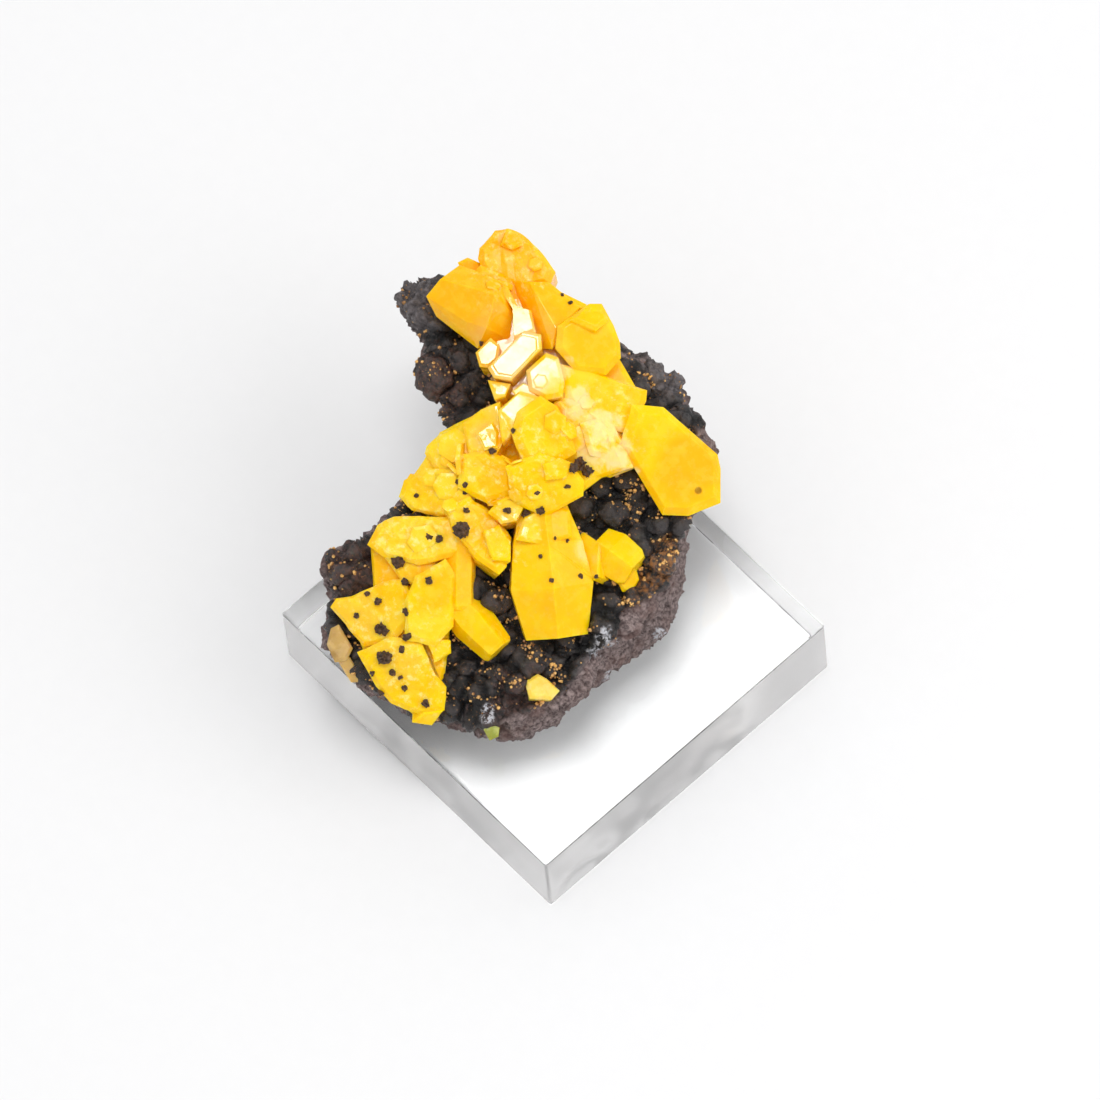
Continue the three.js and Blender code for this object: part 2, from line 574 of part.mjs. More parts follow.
// From the face of the specimen to the frame of the block.
const FACE_TO_BLOCK = new THREE.Matrix4()
  .makeTranslation(FACE_PLACE[0], FACE_PLACE[1], BLOCK_HEIGHT)
  .multiply(new THREE.Matrix4().makeRotationZ(degrees(FACE_TURN)))
  .multiply(new THREE.Matrix4().makeRotationX(degrees(FACE_LEAN)))
  .multiply(new THREE.Matrix4().makeRotationZ(degrees(FACE_TWIST)));

function onBlock(solid) {
  return solid.transform(FACE_TO_BLOCK.elements);
}

// The rock is cut flat where it stands on the block.
const SPACE = 200;
const below = new THREE.BoxGeometry(SPACE, SPACE, SPACE);
below.translate(0, 0, BLOCK_HEIGHT + GAP - SPACE / 2);
const belowSeat = toSolid(below);

const rockSolid = mainBody(onBlock(rock(0)).subtract(belowSeat));
const crystalSeat = onBlock(rock(GAP)).add(belowSeat);

function grownOn(solids) {
  return mainBody(onBlock(join(solids)).subtract(crystalSeat));
}

// Block
function blockGeometry() {
  const [x, y] = [BLOCK_LENGTH / 2, BLOCK_WIDTH / 2];
  const shape = new THREE.Shape();
  shape.moveTo(-x + BLOCK_EDGE, -y);
  shape.lineTo(x - BLOCK_EDGE, -y);
  shape.lineTo(x, -y + BLOCK_EDGE);
  shape.lineTo(x, y - BLOCK_EDGE);
  shape.lineTo(x - BLOCK_EDGE, y);
  shape.lineTo(-x + BLOCK_EDGE, y);
  shape.lineTo(-x, y - BLOCK_EDGE);
  shape.lineTo(-x, -y + BLOCK_EDGE);
  const geometry = new THREE.ExtrudeGeometry(shape, {
    depth: BLOCK_HEIGHT - 2 * BLOCK_EDGE,
    bevelEnabled: true,
    bevelThickness: BLOCK_EDGE,
    bevelSize: BLOCK_EDGE,
    bevelOffset: -BLOCK_EDGE,
    bevelSegments: 1,
  });
  geometry.translate(0, 0, BLOCK_EDGE);
  return geometry;
}

// Assembly
function piece(name, geometry, color, roughness, extra = {}) {
  const mesh = new THREE.Mesh(geometry, new THREE.MeshStandardMaterial({
    color, roughness, metalness: 0, flatShading: true, ...extra,
  }));
  mesh.name = name;
  return mesh;
}

const crystals = new THREE.Group();
crystals.name = 'crystals';
crystals.add(piece('crystal_cluster', toGeometry(grownOn(MAIN_CRYSTALS)), 0xfdc10a, 0.3));
crystals.add(piece('tan_plates', toGeometry(grownOn(TAN_PLATES)), 0xb9995c, 0.6));
crystals.add(piece('loose_front_crystal', toGeometry(grownOn([LOOSE_CRYSTAL])), 0xf6c860, 0.4));
crystals.add(piece('green_crystal', toGeometry(grownOn([GREEN_CRYSTAL])), 0xb9bc52, 0.5));

const specimen = new THREE.Group();
specimen.name = 'specimen';
specimen.add(piece('matrix', toGeometry(rockSolid), 0x2a2426, 0.7));
specimen.add(crystals);

const root = new THREE.Group();
root.name = 'root';
root.add(piece('acrylic_base', blockGeometry(), 0xe8ecee, 0.05, { transparent: true, opacity: 0.35 }));
root.add(specimen);

export default root;
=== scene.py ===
# %% [markdown]
# # A mimetite specimen on a clear block
#
# Mimetite grows as stubby six-sided crystals, here yellow to orange, on a dark iron-rich rock.
# The rock is fixed on a block of clear acrylic. The CAD model gives every piece its place and its
# main shape, so this lesson adds what a lens sees up close: crust, broken stone, growth plates,
# grains, cloudy colour, gloss and light.

# %% Load the frame
import math

import bmesh
import bpy
import numpy as np
from mathutils import Matrix, Vector
from mathutils.bvhtree import BVHTree


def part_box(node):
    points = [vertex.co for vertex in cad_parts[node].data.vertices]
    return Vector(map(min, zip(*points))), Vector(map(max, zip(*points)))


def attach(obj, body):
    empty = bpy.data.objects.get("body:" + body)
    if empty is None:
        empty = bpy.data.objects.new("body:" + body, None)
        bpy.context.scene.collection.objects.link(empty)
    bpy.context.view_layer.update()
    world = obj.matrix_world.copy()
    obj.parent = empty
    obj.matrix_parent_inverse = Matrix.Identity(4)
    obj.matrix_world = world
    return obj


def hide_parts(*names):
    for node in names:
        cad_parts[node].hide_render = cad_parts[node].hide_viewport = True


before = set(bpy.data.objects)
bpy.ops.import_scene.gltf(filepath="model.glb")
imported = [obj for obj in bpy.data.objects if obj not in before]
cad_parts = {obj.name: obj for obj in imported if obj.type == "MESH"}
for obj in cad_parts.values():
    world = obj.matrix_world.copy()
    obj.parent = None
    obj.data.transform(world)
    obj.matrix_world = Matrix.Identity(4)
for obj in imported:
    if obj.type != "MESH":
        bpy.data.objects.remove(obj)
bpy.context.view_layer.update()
MM = 0.001

# %% [markdown]
# ## The face of the specimen
#
# The specimen leans back on its block, and its crystals all look out of one tilted face. Measuring
# in that face is easier than in the room: across, up and out of it, in millimetres. One matrix
# carries such a place to the room.

# %% The tilted face
BLOCK_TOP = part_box("acrylic_base")[1].z
FACE_PLACE = (-5.8 * MM, 5.0 * MM, BLOCK_TOP)
FACE_TURN, FACE_LEAN, FACE_TWIST = (math.radians(angle) for angle in (53.5, 26.6, -7.0))
FACE = (
    Matrix.Translation(FACE_PLACE)
    @ Matrix.Rotation(FACE_TURN, 4, "Z")
    @ Matrix.Rotation(FACE_LEAN, 4, "X")
    @ Matrix.Rotation(FACE_TWIST, 4, "Z")
)
ACROSS, UP, OUT = (FACE.to_3x3().col[axis].copy() for axis in range(3))


def on_face(across, up, out):
    """A place on the face, in millimetres, as a point of the room."""
    return FACE @ Vector((across * MM, up * MM, out * MM))


print("the face looks along", [round(value, 3) for value in OUT])

# %% [markdown]
# ## Helpers for node trees
#
# Shaders and Geometry Nodes are both trees of nodes. Small helpers keep their code short. The first
# adds a node and fills its inputs with values or with other nodes' outputs. The others use it for
# sums, vectors, eased ranges, noise and new groups.

# %% Node helpers
def place(tree, kind, inputs=None, **options):
    """Add a node, set its options, and fill inputs by name or number."""
    item = tree.nodes.new(kind)
    for key, value in options.items():
        setattr(item, key, value)
    for key, value in (inputs or {}).items():
        if isinstance(value, bpy.types.NodeSocket):
            tree.links.new(value, item.inputs[key])
        else:
            item.inputs[key].default_value = value
    return item


def sums(tree, operation, *values):
    """A Math node's result."""
    return place(tree, "ShaderNodeMath", dict(enumerate(values)), operation=operation).outputs[0]


def product(tree, *values):
    """Values multiplied with one another."""
    result = values[0]
    for value in values[1:]:
        result = sums(tree, "MULTIPLY", result, value)
    return result


def weighted(tree, *terms):
    """A sum of values, each with its weight."""
    total = None
    for value, weight in terms:
        part = product(tree, value, weight)
        total = sums(tree, "ADD", total, part) if total else part
    return total


def vectors(tree, operation, first, second):
    """Two vectors added or subtracted."""
    return place(tree, "ShaderNodeVectorMath", {0: first, 1: second}, operation=operation).outputs[0]


def vector_of(tree, x, y, z):
    """A vector from three numbers."""
    return place(tree, "ShaderNodeCombineXYZ", {0: x, 1: y, 2: z}).outputs[0]


def scaled(tree, vector, factor):
    """A vector times a number."""
    inputs = {0: vector, "Scale": factor}
    return place(tree, "ShaderNodeVectorMath", inputs, operation="SCALE").outputs[0]


def along(tree, vector, direction):
    """How far a vector reaches along a direction."""
    inputs = {0: vector, 1: direction}
    return place(tree, "ShaderNodeVectorMath", inputs, operation="DOT_PRODUCT").outputs["Value"]


def ramp(tree, value, low, high, to_low=0.0, to_high=1.0):
    """A value eased from one range to another."""
    inputs = {"Value": value, "From Min": low, "From Max": high, "To Min": to_low, "To Max": to_high}
    return place(tree, "ShaderNodeMapRange", inputs, interpolation_type="SMOOTHSTEP").outputs[0]


def noise(tree, vector, size, detail=4.0, roughness=0.55):
    """Noise with features of about this size in metres, from 0 to 1."""
    density = sums(tree, "DIVIDE", 1.0, size) if isinstance(size, bpy.types.NodeSocket) else 1 / size
    inputs = {"Vector": vector, "Scale": density, "Detail": detail, "Roughness": roughness}
    return place(tree, "ShaderNodeTexNoise", inputs).outputs[0]


def swing(tree, *what):
    """The same noise, moved to both sides of 0."""
    return sums(tree, "SUBTRACT", noise(tree, *what), 0.5)


def noise_vector(tree, vector, density, detail):
    """Noise with three numbers at each place."""
    inputs = {"Vector": vector, "Scale": density, "Detail": detail}
    return place(tree, "ShaderNodeTexNoise", inputs).outputs[1]


def new_group(kind, name, inputs, outputs):
    """An empty node group with named sockets, and its two end nodes."""
    group = bpy.data.node_groups.new(name, kind)
    for direction, sockets in (("INPUT", inputs), ("OUTPUT", outputs)):
        for label, socket_kind, value in sockets:
            socket = group.interface.new_socket(name=label, in_out=direction, socket_type=socket_kind)
            if value is not None:
                socket.default_value = value
    start = group.nodes.new("NodeGroupInput")
    end = group.nodes.new("NodeGroupOutput")
    return group, start.outputs, end.inputs


NUMBER, VECTOR = "NodeSocketFloat", "NodeSocketVector"
GEOMETRY, MATERIAL = "NodeSocketGeometry", "NodeSocketMaterial"
print("node helpers ready")

# %% [markdown]
# ## Helpers for meshes
#
# A CAD node arrives as loose triangles. A copy is welded before anything else is done with it, so
# that bevels and remeshing see one closed skin. Geometry Nodes results are turned into plain meshes.

# %% Mesh helpers
WELD_DISTANCE = 2e-6


def welded_copy(node):
    """A closed copy of a CAD node's mesh, as a bmesh."""
    skin = bmesh.new()
    skin.from_mesh(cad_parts[node].data)
    bmesh.ops.remove_doubles(skin, verts=skin.verts, dist=WELD_DISTANCE)
    return skin


def new_piece(name, mesh, material=None):
    """A mesh as an object at the origin."""
    piece = bpy.data.objects.new(name, mesh)
    bpy.context.scene.collection.objects.link(piece)
    if material:
        mesh.materials.clear()
        mesh.materials.append(material)
    return piece


def bmesh_piece(name, skin, material=None):
    """A bmesh as an object, and the bmesh freed."""
    mesh = bpy.data.meshes.new(name)
    skin.to_mesh(mesh)
    skin.free()
    return new_piece(name, mesh, material)


def baked(piece):
    """The piece with its modifiers turned into a plain mesh."""
    bpy.context.view_layer.update()
    evaluated = piece.evaluated_get(bpy.context.evaluated_depsgraph_get())
    mesh = bpy.data.meshes.new_from_object(evaluated)
    piece.modifiers.clear()
    piece.data = mesh
    mesh.name = piece.name
    return piece


def grown_by(piece, tree, **values):
    """The piece after a Geometry Nodes tree with these values for its named inputs."""
    modifier = piece.modifiers.new(tree.name, "NODES")
    modifier.node_group = tree
    for item in tree.interface.items_tree:
        if item.in_out == "INPUT" and item.name in values:
            modifier[item.identifier] = values[item.name]
    return baked(piece)


def triangles(piece):
    """How many triangles the piece's faces make."""
    return sum(len(face.vertices) - 2 for face in piece.data.polygons)


print("mesh helpers ready")

# %% [markdown]
# ## Helpers for Geometry Nodes
#
# The trees that shape and scatter have steps in common: reading and storing a number on the mesh,
# random numbers and vectors, an instance on every point, and the end, which makes instances real and
# sets the material.

# %% Geometry Nodes helpers
FULL_TURN = 6.28


def geometry_tree(name, inputs):
    """An empty tree for a modifier, with a geometry, these inputs and a material."""
    group, start, end = new_group(
        "GeometryNodeTree", name,
        [("Geometry", GEOMETRY, None), *inputs, ("Material", MATERIAL, None)],
        [("Geometry", GEOMETRY, None)],
    )
    group.is_modifier = True
    return group, start, end


def finish_tree(group, start, end, geometry):
    """The end of a tree: real meshes with the material that the modifier names."""
    realized = place(group, "GeometryNodeRealizeInstances", {"Geometry": geometry}).outputs[0]
    inputs = {"Geometry": realized, "Material": start["Material"]}
    group.links.new(place(group, "GeometryNodeSetMaterial", inputs).outputs[0], end["Geometry"])
    return group


def at_point(group, what):
    """The Position or the Normal at each point."""
    return place(group, "GeometryNodeInput" + what).outputs[0]


def attribute(group, name):
    """A number that is stored on the mesh."""
    inputs = {"Name": name}
    return place(group, "GeometryNodeInputNamedAttribute", inputs, data_type="FLOAT").outputs[0]


def stored(group, geometry, name, value):
    """The geometry with a number stored on its points."""
    inputs = {"Geometry": geometry, "Name": name, "Value": value}
    options = {"data_type": "FLOAT", "domain": "POINT"}
    return place(group, "GeometryNodeStoreNamedAttribute", inputs, **options).outputs[0]


def random_number(group, seed, low=0.0, high=1.0):
    """A random number for each point."""
    inputs = {2: low, 3: high, "Seed": seed}
    return place(group, "FunctionNodeRandomValue", inputs, data_type="FLOAT").outputs[1]


def random_vector(group, seed, low, high):
    """A random vector for each point."""
    inputs = {0: low, 1: high, "Seed": seed}
    return place(group, "FunctionNodeRandomValue", inputs, data_type="FLOAT_VECTOR").outputs[0]


def any_turn(group, seed):
    """A random rotation for each point."""
    return random_vector(group, seed, (0.0,) * 3, (FULL_TURN,) * 3)


def scattered(group, mesh, density, seed):
    """Points scattered on a mesh, and the rotation that lays a thing flat at each."""
    inputs = {"Mesh": mesh, "Density": density, "Seed": seed}
    scatter = place(group, "GeometryNodeDistributePointsOnFaces", inputs).outputs
    return scatter["Points"], scatter["Rotation"]


def set_out(group, points, instance, rotation, scale):
    """A copy of the instance on every point, as one mesh."""
    inputs = {"Points": points, "Instance": instance, "Rotation": rotation, "Scale": scale}
    copies = place(group, "GeometryNodeInstanceOnPoints", inputs).outputs[0]
    return place(group, "GeometryNodeRealizeInstances", {"Geometry": copies}).outputs[0]


print("Geometry Nodes helpers ready")

# %% [markdown]
# ## Shared effects
#
# Colour, gloss and growth change from place to place on the face. One group makes a soft round patch
# at a place of the face, with an edge that noise breaks up. The same recipe is built twice, once for
# shaders and once for Geometry Nodes, and both are used many times.

# %% Node groups for patches
PATCH_GRAIN = 1.6 * MM
PATCH_RAGGED = 3.0
PATCH_FULL, PATCH_END = 0.55, 1.15


def shade(red, green, blue):
    """An sRGB colour, 0 to 255, as the linear colour that a shader takes."""
    def linear(value):
        value /= 255
        return value / 12.92 if value <= 0.04045 else ((value + 0.055) / 1.055) ** 2.4
    return (linear(red), linear(green), linear(blue), 1.0)


def soft_patch(kind):
    """A group that gives 1 near a place of the face and 0 far from it, with a ragged edge."""
    group, start, end = new_group(
        kind, "soft patch",
        [("Point", VECTOR, None), ("Across", NUMBER, 0.0), ("Up", NUMBER, 0.0), ("Radius", NUMBER, 3.0),
         ("Ragged", NUMBER, 0.5)],
        [("Mask", NUMBER, None)],
    )
    shifted = vectors(group, "SUBTRACT", start["Point"], FACE_PLACE)
    reach = []
    for label, direction in (("Across", ACROSS), ("Up", UP)):
        place_here = sums(group, "DIVIDE", along(group, shifted, direction), MM)
        reach.append(sums(group, "POWER", sums(group, "SUBTRACT", place_here, start[label]), 2.0))
    share = sums(group, "DIVIDE", sums(group, "SQRT", sums(group, "ADD", *reach)), start["Radius"])
    rough = swing(group, start["Point"], PATCH_GRAIN, 5)
    rough = product(group, rough, product(group, start["Ragged"], PATCH_RAGGED))
    group.links.new(ramp(group, sums(group, "ADD", share, rough), PATCH_END, PATCH_FULL), end["Mask"])
    return group


def patches(tree, kind, group, point, spots, ragged):
    """The largest of several soft patches, each across, up and radius in millimetres."""
    mask = None
    for across, up, radius in spots:
        item = tree.nodes.new(kind)
        item.node_tree = group
        tree.links.new(point, item.inputs["Point"])
        for label, value in (("Across", across), ("Up", up), ("Radius", radius), ("Ragged", ragged)):
            item.inputs[label].default_value = value
        mask = sums(tree, "MAXIMUM", mask, item.outputs[0]) if mask else item.outputs[0]
    return mask


SOFT_PATCH = soft_patch("ShaderNodeTree")
GROWTH_PATCH = soft_patch("GeometryNodeTree")


class Shading:
    """A material's tree with its Principled BSDF."""

    def __init__(self, name, **values):
        self.material = bpy.data.materials.new(name)
        self.material.use_nodes = True
        self.tree = self.material.node_tree
        self.shader = self.tree.nodes["Principled BSDF"]
        for label, value in values.items():
            self.shader.inputs[label.replace("_", " ")].default_value = value
        self.point = place(self.tree, "ShaderNodeTexCoord").outputs["Object"]

    def patches(self, spots, ragged=0.5):
        """The largest of several soft patches, each across, up and radius in millimetres."""
        return patches(self.tree, "ShaderNodeGroup", SOFT_PATCH, self.point, spots, ragged)

    def mixed(self, share, first, second):
        """Two colours mixed: a share of 1 gives the second."""
        inputs = {0: share, 6: first, 7: second}
        return place(self.tree, "ShaderNodeMix", inputs, data_type="RGBA").outputs[2]

    def two_toned(self, size, detail, low, high, dark, pale):
        """The base colour moved by noise between two tones."""
        tone = ramp(self.tree, noise(self.tree, self.point, size, detail), low, high)
        self.sends("Base Color", self.mixed(tone, dark, pale))

    def sends(self, label, socket):
        """A result linked to an input of the shader."""
        self.tree.links.new(socket, self.shader.inputs[label])

    def bumped(self, height, distance, strength=1.0, under=None):
        """A normal with fine relief, on top of another one."""
        inputs = {"Height": height, "Distance": distance, "Strength": strength}
        if under:
            inputs["Normal"] = under
        return place(self.tree, "ShaderNodeBump", inputs).outputs[0]


print("shared groups:", SOFT_PATCH.name, "and", GROWTH_PATCH.name)

# %% [markdown]
# ## Camera
#
# The picture was taken from above with a long lens, so the camera stands far away on the line that
# the face looks along, and its lens is set by how many pixels a millimetre of the face takes.

# %% Camera
PICTURE_PIXELS = 1100
PIXELS_PER_MM = 10.0
SENSOR_WIDTH = 36.0
CAMERA_DISTANCE = 1.6
FARTHEST_SEEN = 10.0

lens = bpy.data.cameras.new("camera")
lens.sensor_width = SENSOR_WIDTH
lens.lens = SENSOR_WIDTH * CAMERA_DISTANCE / MM * PIXELS_PER_MM / PICTURE_PIXELS
lens.clip_end = FARTHEST_SEEN
camera = bpy.data.objects.new("camera", lens)
camera.matrix_world = FACE @ Matrix.Translation((0, 0, CAMERA_DISTANCE))
bpy.context.scene.collection.objects.link(camera)
bpy.context.scene.camera = camera
print("lens", round(lens.lens), "mm")

# %% [markdown]
# ## Floor and light
#
# The floor is white. One softbox hangs overhead: the flat plates in the middle mirror it. A second,
# wider one at the right throws the soft shadow to the left. The room is bright all around.

# %% Light
# Metres and watts
OVERHEAD = {"distance": 0.62, "size": 0.2, "power": 1.15}
FROM_RIGHT = {"distance": 0.6, "size": 0.42, "power": 0.95}
NEARER, HIGHER = 0.35, 0.95
ROOM_STRENGTH = 0.8
BOUNCES = 16


def softbox(name, direction, distance, size, power):
    """A square lamp that hangs in this direction and shines on the origin."""
    lamp = bpy.data.lights.new(name, "AREA")
    lamp.shape = "SQUARE"
    lamp.size = size
    lamp.energy = power
    item = bpy.data.objects.new(name, lamp)
    aim = Vector(direction).normalized()
    turn = aim.to_track_quat("Z", "Y").to_matrix().to_4x4()
    item.matrix_world = Matrix.Translation(aim * distance) @ turn
    bpy.context.scene.collection.objects.link(item)


RIGHT = Vector((math.cos(FACE_TURN), math.sin(FACE_TURN), 0))
AWAY = Vector((-math.sin(FACE_TURN), math.cos(FACE_TURN), 0))
softbox("overhead_softbox", (0, 0, 1), **OVERHEAD)
softbox("right_softbox", RIGHT - AWAY * NEARER + Vector((0, 0, HIGHER)), **FROM_RIGHT)

world = bpy.data.worlds.new("studio")
world.use_nodes = True
room = world.node_tree.nodes["Background"].inputs
room["Color"].default_value = (1.0, 1.0, 1.0, 1.0)
room["Strength"].default_value = ROOM_STRENGTH
bpy.context.scene.world = world
bpy.context.scene.view_settings.view_transform = "Standard"
studio = bpy.context.scene.cycles
studio.use_denoising = True
studio.sample_clamp_indirect = 0.0
studio.max_bounces = BOUNCES
studio.transmission_bounces = BOUNCES
studio.glossy_bounces = BOUNCES

# %% Floor
FLOOR_HALF = 1.5
FLOOR_GAP = 0.05 * MM
floor_skin = bmesh.new()
bmesh.ops.create_grid(floor_skin, x_segments=1, y_segments=1, size=FLOOR_HALF)
paper = Shading("white paper", Roughness=0.8)
paper_tone = noise(paper.tree, paper.point, 2 * MM, 3)
paper.sends("Base Color", paper.mixed(paper_tone, (0.79, 0.79, 0.795, 1), (0.81, 0.81, 0.815, 1)))
bmesh.ops.translate(floor_skin, verts=floor_skin.verts, vec=(0, 0, -FLOOR_GAP))
floor = bmesh_piece("floor", floor_skin, paper.material)
print("floor:", 2 * FLOOR_HALF, "m wide")

# %% [markdown]
# ## The acrylic block
#
# The block is sawn from clear sheet. Its top and underside are as smooth as the sheet, and its sides
# are half dull. Light that enters a face leaves by another, so transmission with the index of acrylic
# does most of the work, and the sides scatter a part of it. The edges have a small round, because a
# perfect edge would show no bright line. The block casts no shadow of its own: direct lamp light then
# reaches the paper under it, as it does through clear plastic, and few samples are enough.

# %% Block
ACRYLIC_IOR = 1.49
EDGE_ROUND = 0.3 * MM
SIDE_SLOPE = 0.2

block_low, block_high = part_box("acrylic_base")
block_skin = bmesh.new()
bmesh.ops.create_cube(block_skin, size=1.0)
for corner in block_skin.verts:
    corner.co = Vector(
        low + (along_axis + 0.5) * (high - low)
        for low, along_axis, high in zip(block_low, corner.co, block_high)
    )
bmesh.ops.bevel(
    block_skin, geom=block_skin.edges[:], offset=EDGE_ROUND, segments=3, profile=0.5, affect="EDGES",
)
acrylic = Shading(
    "clear acrylic", Base_Color=(0.985, 0.99, 0.99, 1), IOR=ACRYLIC_IOR, Transmission_Weight=1.0,
)
smear = noise(acrylic.tree, acrylic.point, 6 * MM, 5, 0.6)
acrylic.sends("Roughness", ramp(acrylic.tree, smear, 0.45, 0.8, 0.01, 0.06))
sawn = Shading(
    "sawn acrylic", Base_Color=(0.96, 0.95, 0.95, 1), IOR=ACRYLIC_IOR, Transmission_Weight=0.65,
)
saw_marks = noise(sawn.tree, sawn.point, 5 * MM, 3, 0.5)
sawn.sends("Roughness", ramp(sawn.tree, saw_marks, 0.3, 0.7, 0.2, 0.27))
acrylic_block = bmesh_piece("acrylic_block", block_skin, acrylic.material)
acrylic_block.data.materials.append(sawn.material)
for side in acrylic_block.data.polygons:
    side.material_index = int(abs(side.normal.z) < SIDE_SLOPE)
acrylic_block.visible_shadow = False
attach(acrylic_block, "root")
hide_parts("acrylic_base")
print("block:", triangles(acrylic_block), "triangles")

# %% [markdown]
# ## The rock
#
# Gossan is what weathering leaves of an ore: iron and manganese oxides that settle as a black crust
# of tiny grape-like domes, over brown stone that breaks with a rough, mauve-brown wall. The CAD rock
# is remeshed to small even faces, and Geometry Nodes lift them: Voronoi domes where the surface looks
# out of the face, broken noise elsewhere. The share of crust is kept as an attribute for the material.

# %% Tree for the rock's surface
DOME_STEEPNESS = 2.3


def dome_field(group, point, size, height):
    """Round domes packed side by side, each with a sharp valley around it."""
    inputs = {"Vector": point, "Scale": sums(group, "DIVIDE", 1.0, size), "Randomness": 0.9}
    distance = place(group, "ShaderNodeTexVoronoi", inputs).outputs["Distance"]
    fall = product(group, distance, distance, DOME_STEEPNESS)
    dome = sums(group, "SQRT", sums(group, "MAXIMUM", sums(group, "SUBTRACT", 1.0, fall), 0.0))
    return product(group, dome, height)


def crust_share(group, point, facing):
    """1 where crust covers the rock and 0 where it has broken away, with a ragged border."""
    ragged = product(group, swing(group, point, 2.5 * MM), 0.5)
    border = sums(group, "ADD", attribute(group, "inside"), product(group, ragged, 2.4))
    facing = sums(group, "ADD", facing, ragged)
    return product(group, ramp(group, facing, 0.2, 0.45), ramp(group, border, -0.3, 0.3))


def crust_domes(group, point, warped, size):
    """Large domes with smaller ones on them, and the smallest on those."""
    domes = dome_field(group, warped, size, 1.0)
    pebbles = dome_field(group, warped, product(group, size, 0.42), 0.38)
    seeds = dome_field(group, point, product(group, size, 0.2), 0.14)
    return sums(group, "ADD", sums(group, "ADD", domes, pebbles), seeds)


def broken_relief(group, point, warped):
    """Broken stone: lumps, ledges, chips and small blocks at different heights."""
    coarse = swing(group, point, 4.5 * MM, 8, 0.62)
    ledges = sums(group, "ABSOLUTE", swing(group, point, 2.2 * MM, 6, 0.6))
    chips = swing(group, point, 0.9 * MM, 5, 0.65)
    inputs = {"Vector": warped, "Scale": 1 / (1.9 * MM)}
    blocks = place(group, "ShaderNodeTexVoronoi", inputs).outputs["Color"]
    steps = sums(group, "SUBTRACT", along(group, blocks, (0.5, 0.5, 0.0)), 0.5)
    broken = weighted(group, (coarse, 2.0), (ledges, -1.6), (chips, 0.9), (steps, 0.8))
    return sums(group, "ADD", broken, 0.15)


def seated(group, point, lifted, seat, drop):
    """The foot of the rock let down on the block, and nothing lower than the block's top."""
    height = place(group, "ShaderNodeSeparateXYZ", {0: point}).outputs[2]
    low = ramp(group, sums(group, "SUBTRACT", height, seat), 1.2 * MM, 0.4 * MM)
    down = vector_of(group, 0.0, 0.0, product(group, low, product(group, drop, -1.0)))
    parts = place(group, "ShaderNodeSeparateXYZ", {0: vectors(group, "ADD", lifted, down)}).outputs
    return vector_of(group, parts[0], parts[1], sums(group, "MAXIMUM", parts[2], seat))


def rock_surface_tree():
    """Domes on the crust and broken relief elsewhere."""
    group, start, end = geometry_tree("rock surface", [
        ("Out", VECTOR, None), ("Dome Size", NUMBER, 1.7 * MM), ("Dome Height", NUMBER, 1.0 * MM),
        ("Break Height", NUMBER, 1.3 * MM), ("Seat Height", NUMBER, 0.0), ("Seat Drop", NUMBER, 0.3 * MM),
    ])
    point, normal = at_point(group, "Position"), at_point(group, "Normal")
    crust = crust_share(group, point, along(group, normal, start["Out"]))
    warp = noise_vector(group, point, 1 / (2.2 * MM), 2.0)
    warped = vectors(group, "ADD", point, scaled(group, warp, 0.9 * MM))
    domes = crust_domes(group, point, warped, start["Dome Size"])
    # The dome height is stored for the material, which uses it to paint shade into the valleys.
    marked = stored(group, stored(group, start["Geometry"], "crust", crust), "dome", domes)
    broken = product(group, broken_relief(group, point, warped), start["Break Height"])
    raised = product(group, domes, start["Dome Height"])
    lift = place(group, "ShaderNodeMix", {0: crust, 2: broken, 3: raised}).outputs[0]
    lifted = vectors(group, "ADD", point, scaled(group, normal, lift))
    position = seated(group, point, lifted, start["Seat Height"], start["Seat Drop"])
    moved = place(group, "GeometryNodeSetPosition", {"Geometry": marked, "Position": position}).outputs[0]
    return finish_tree(group, start, end, moved)


ROCK_SURFACE = rock_surface_tree()
print("tree:", ROCK_SURFACE.name, len(ROCK_SURFACE.nodes), "nodes")

# %% [markdown]
# ## The rock's colours
#
# The rock's material follows the crust attribute. The crust is nearly black with a faint gloss, with
# shade painted into the valleys between its domes and light painted onto their tops, and tan smears,
# rust, dust and a green-grey tinge lie on it. Broken stone is mauve-brown, greyer on the chunks at the
# top, with white mineral in a few places along the edge.

# %% Rock material
# Across, up and radius, in millimetres
SMEARED = ((12.0, -1.0, 2.4), (9.5, -3.6, 1.4))
RUSTY = ((-20, -2, 4), (-12, 16, 4), (-2, -16, 4))
GREY_CHUNKS = ((-13.4, 24.6, 3.4), (11.5, 17.5, 2.6), (-1, 22, 3))
WHITE_MINERAL = (
    (5.5, -8.5, 1.0), (4.5, -10.1, 0.8), (6.2, -12.9, 0.9), (10.8, -8.4, 0.7), (-6.2, -16.2, 0.8),
)


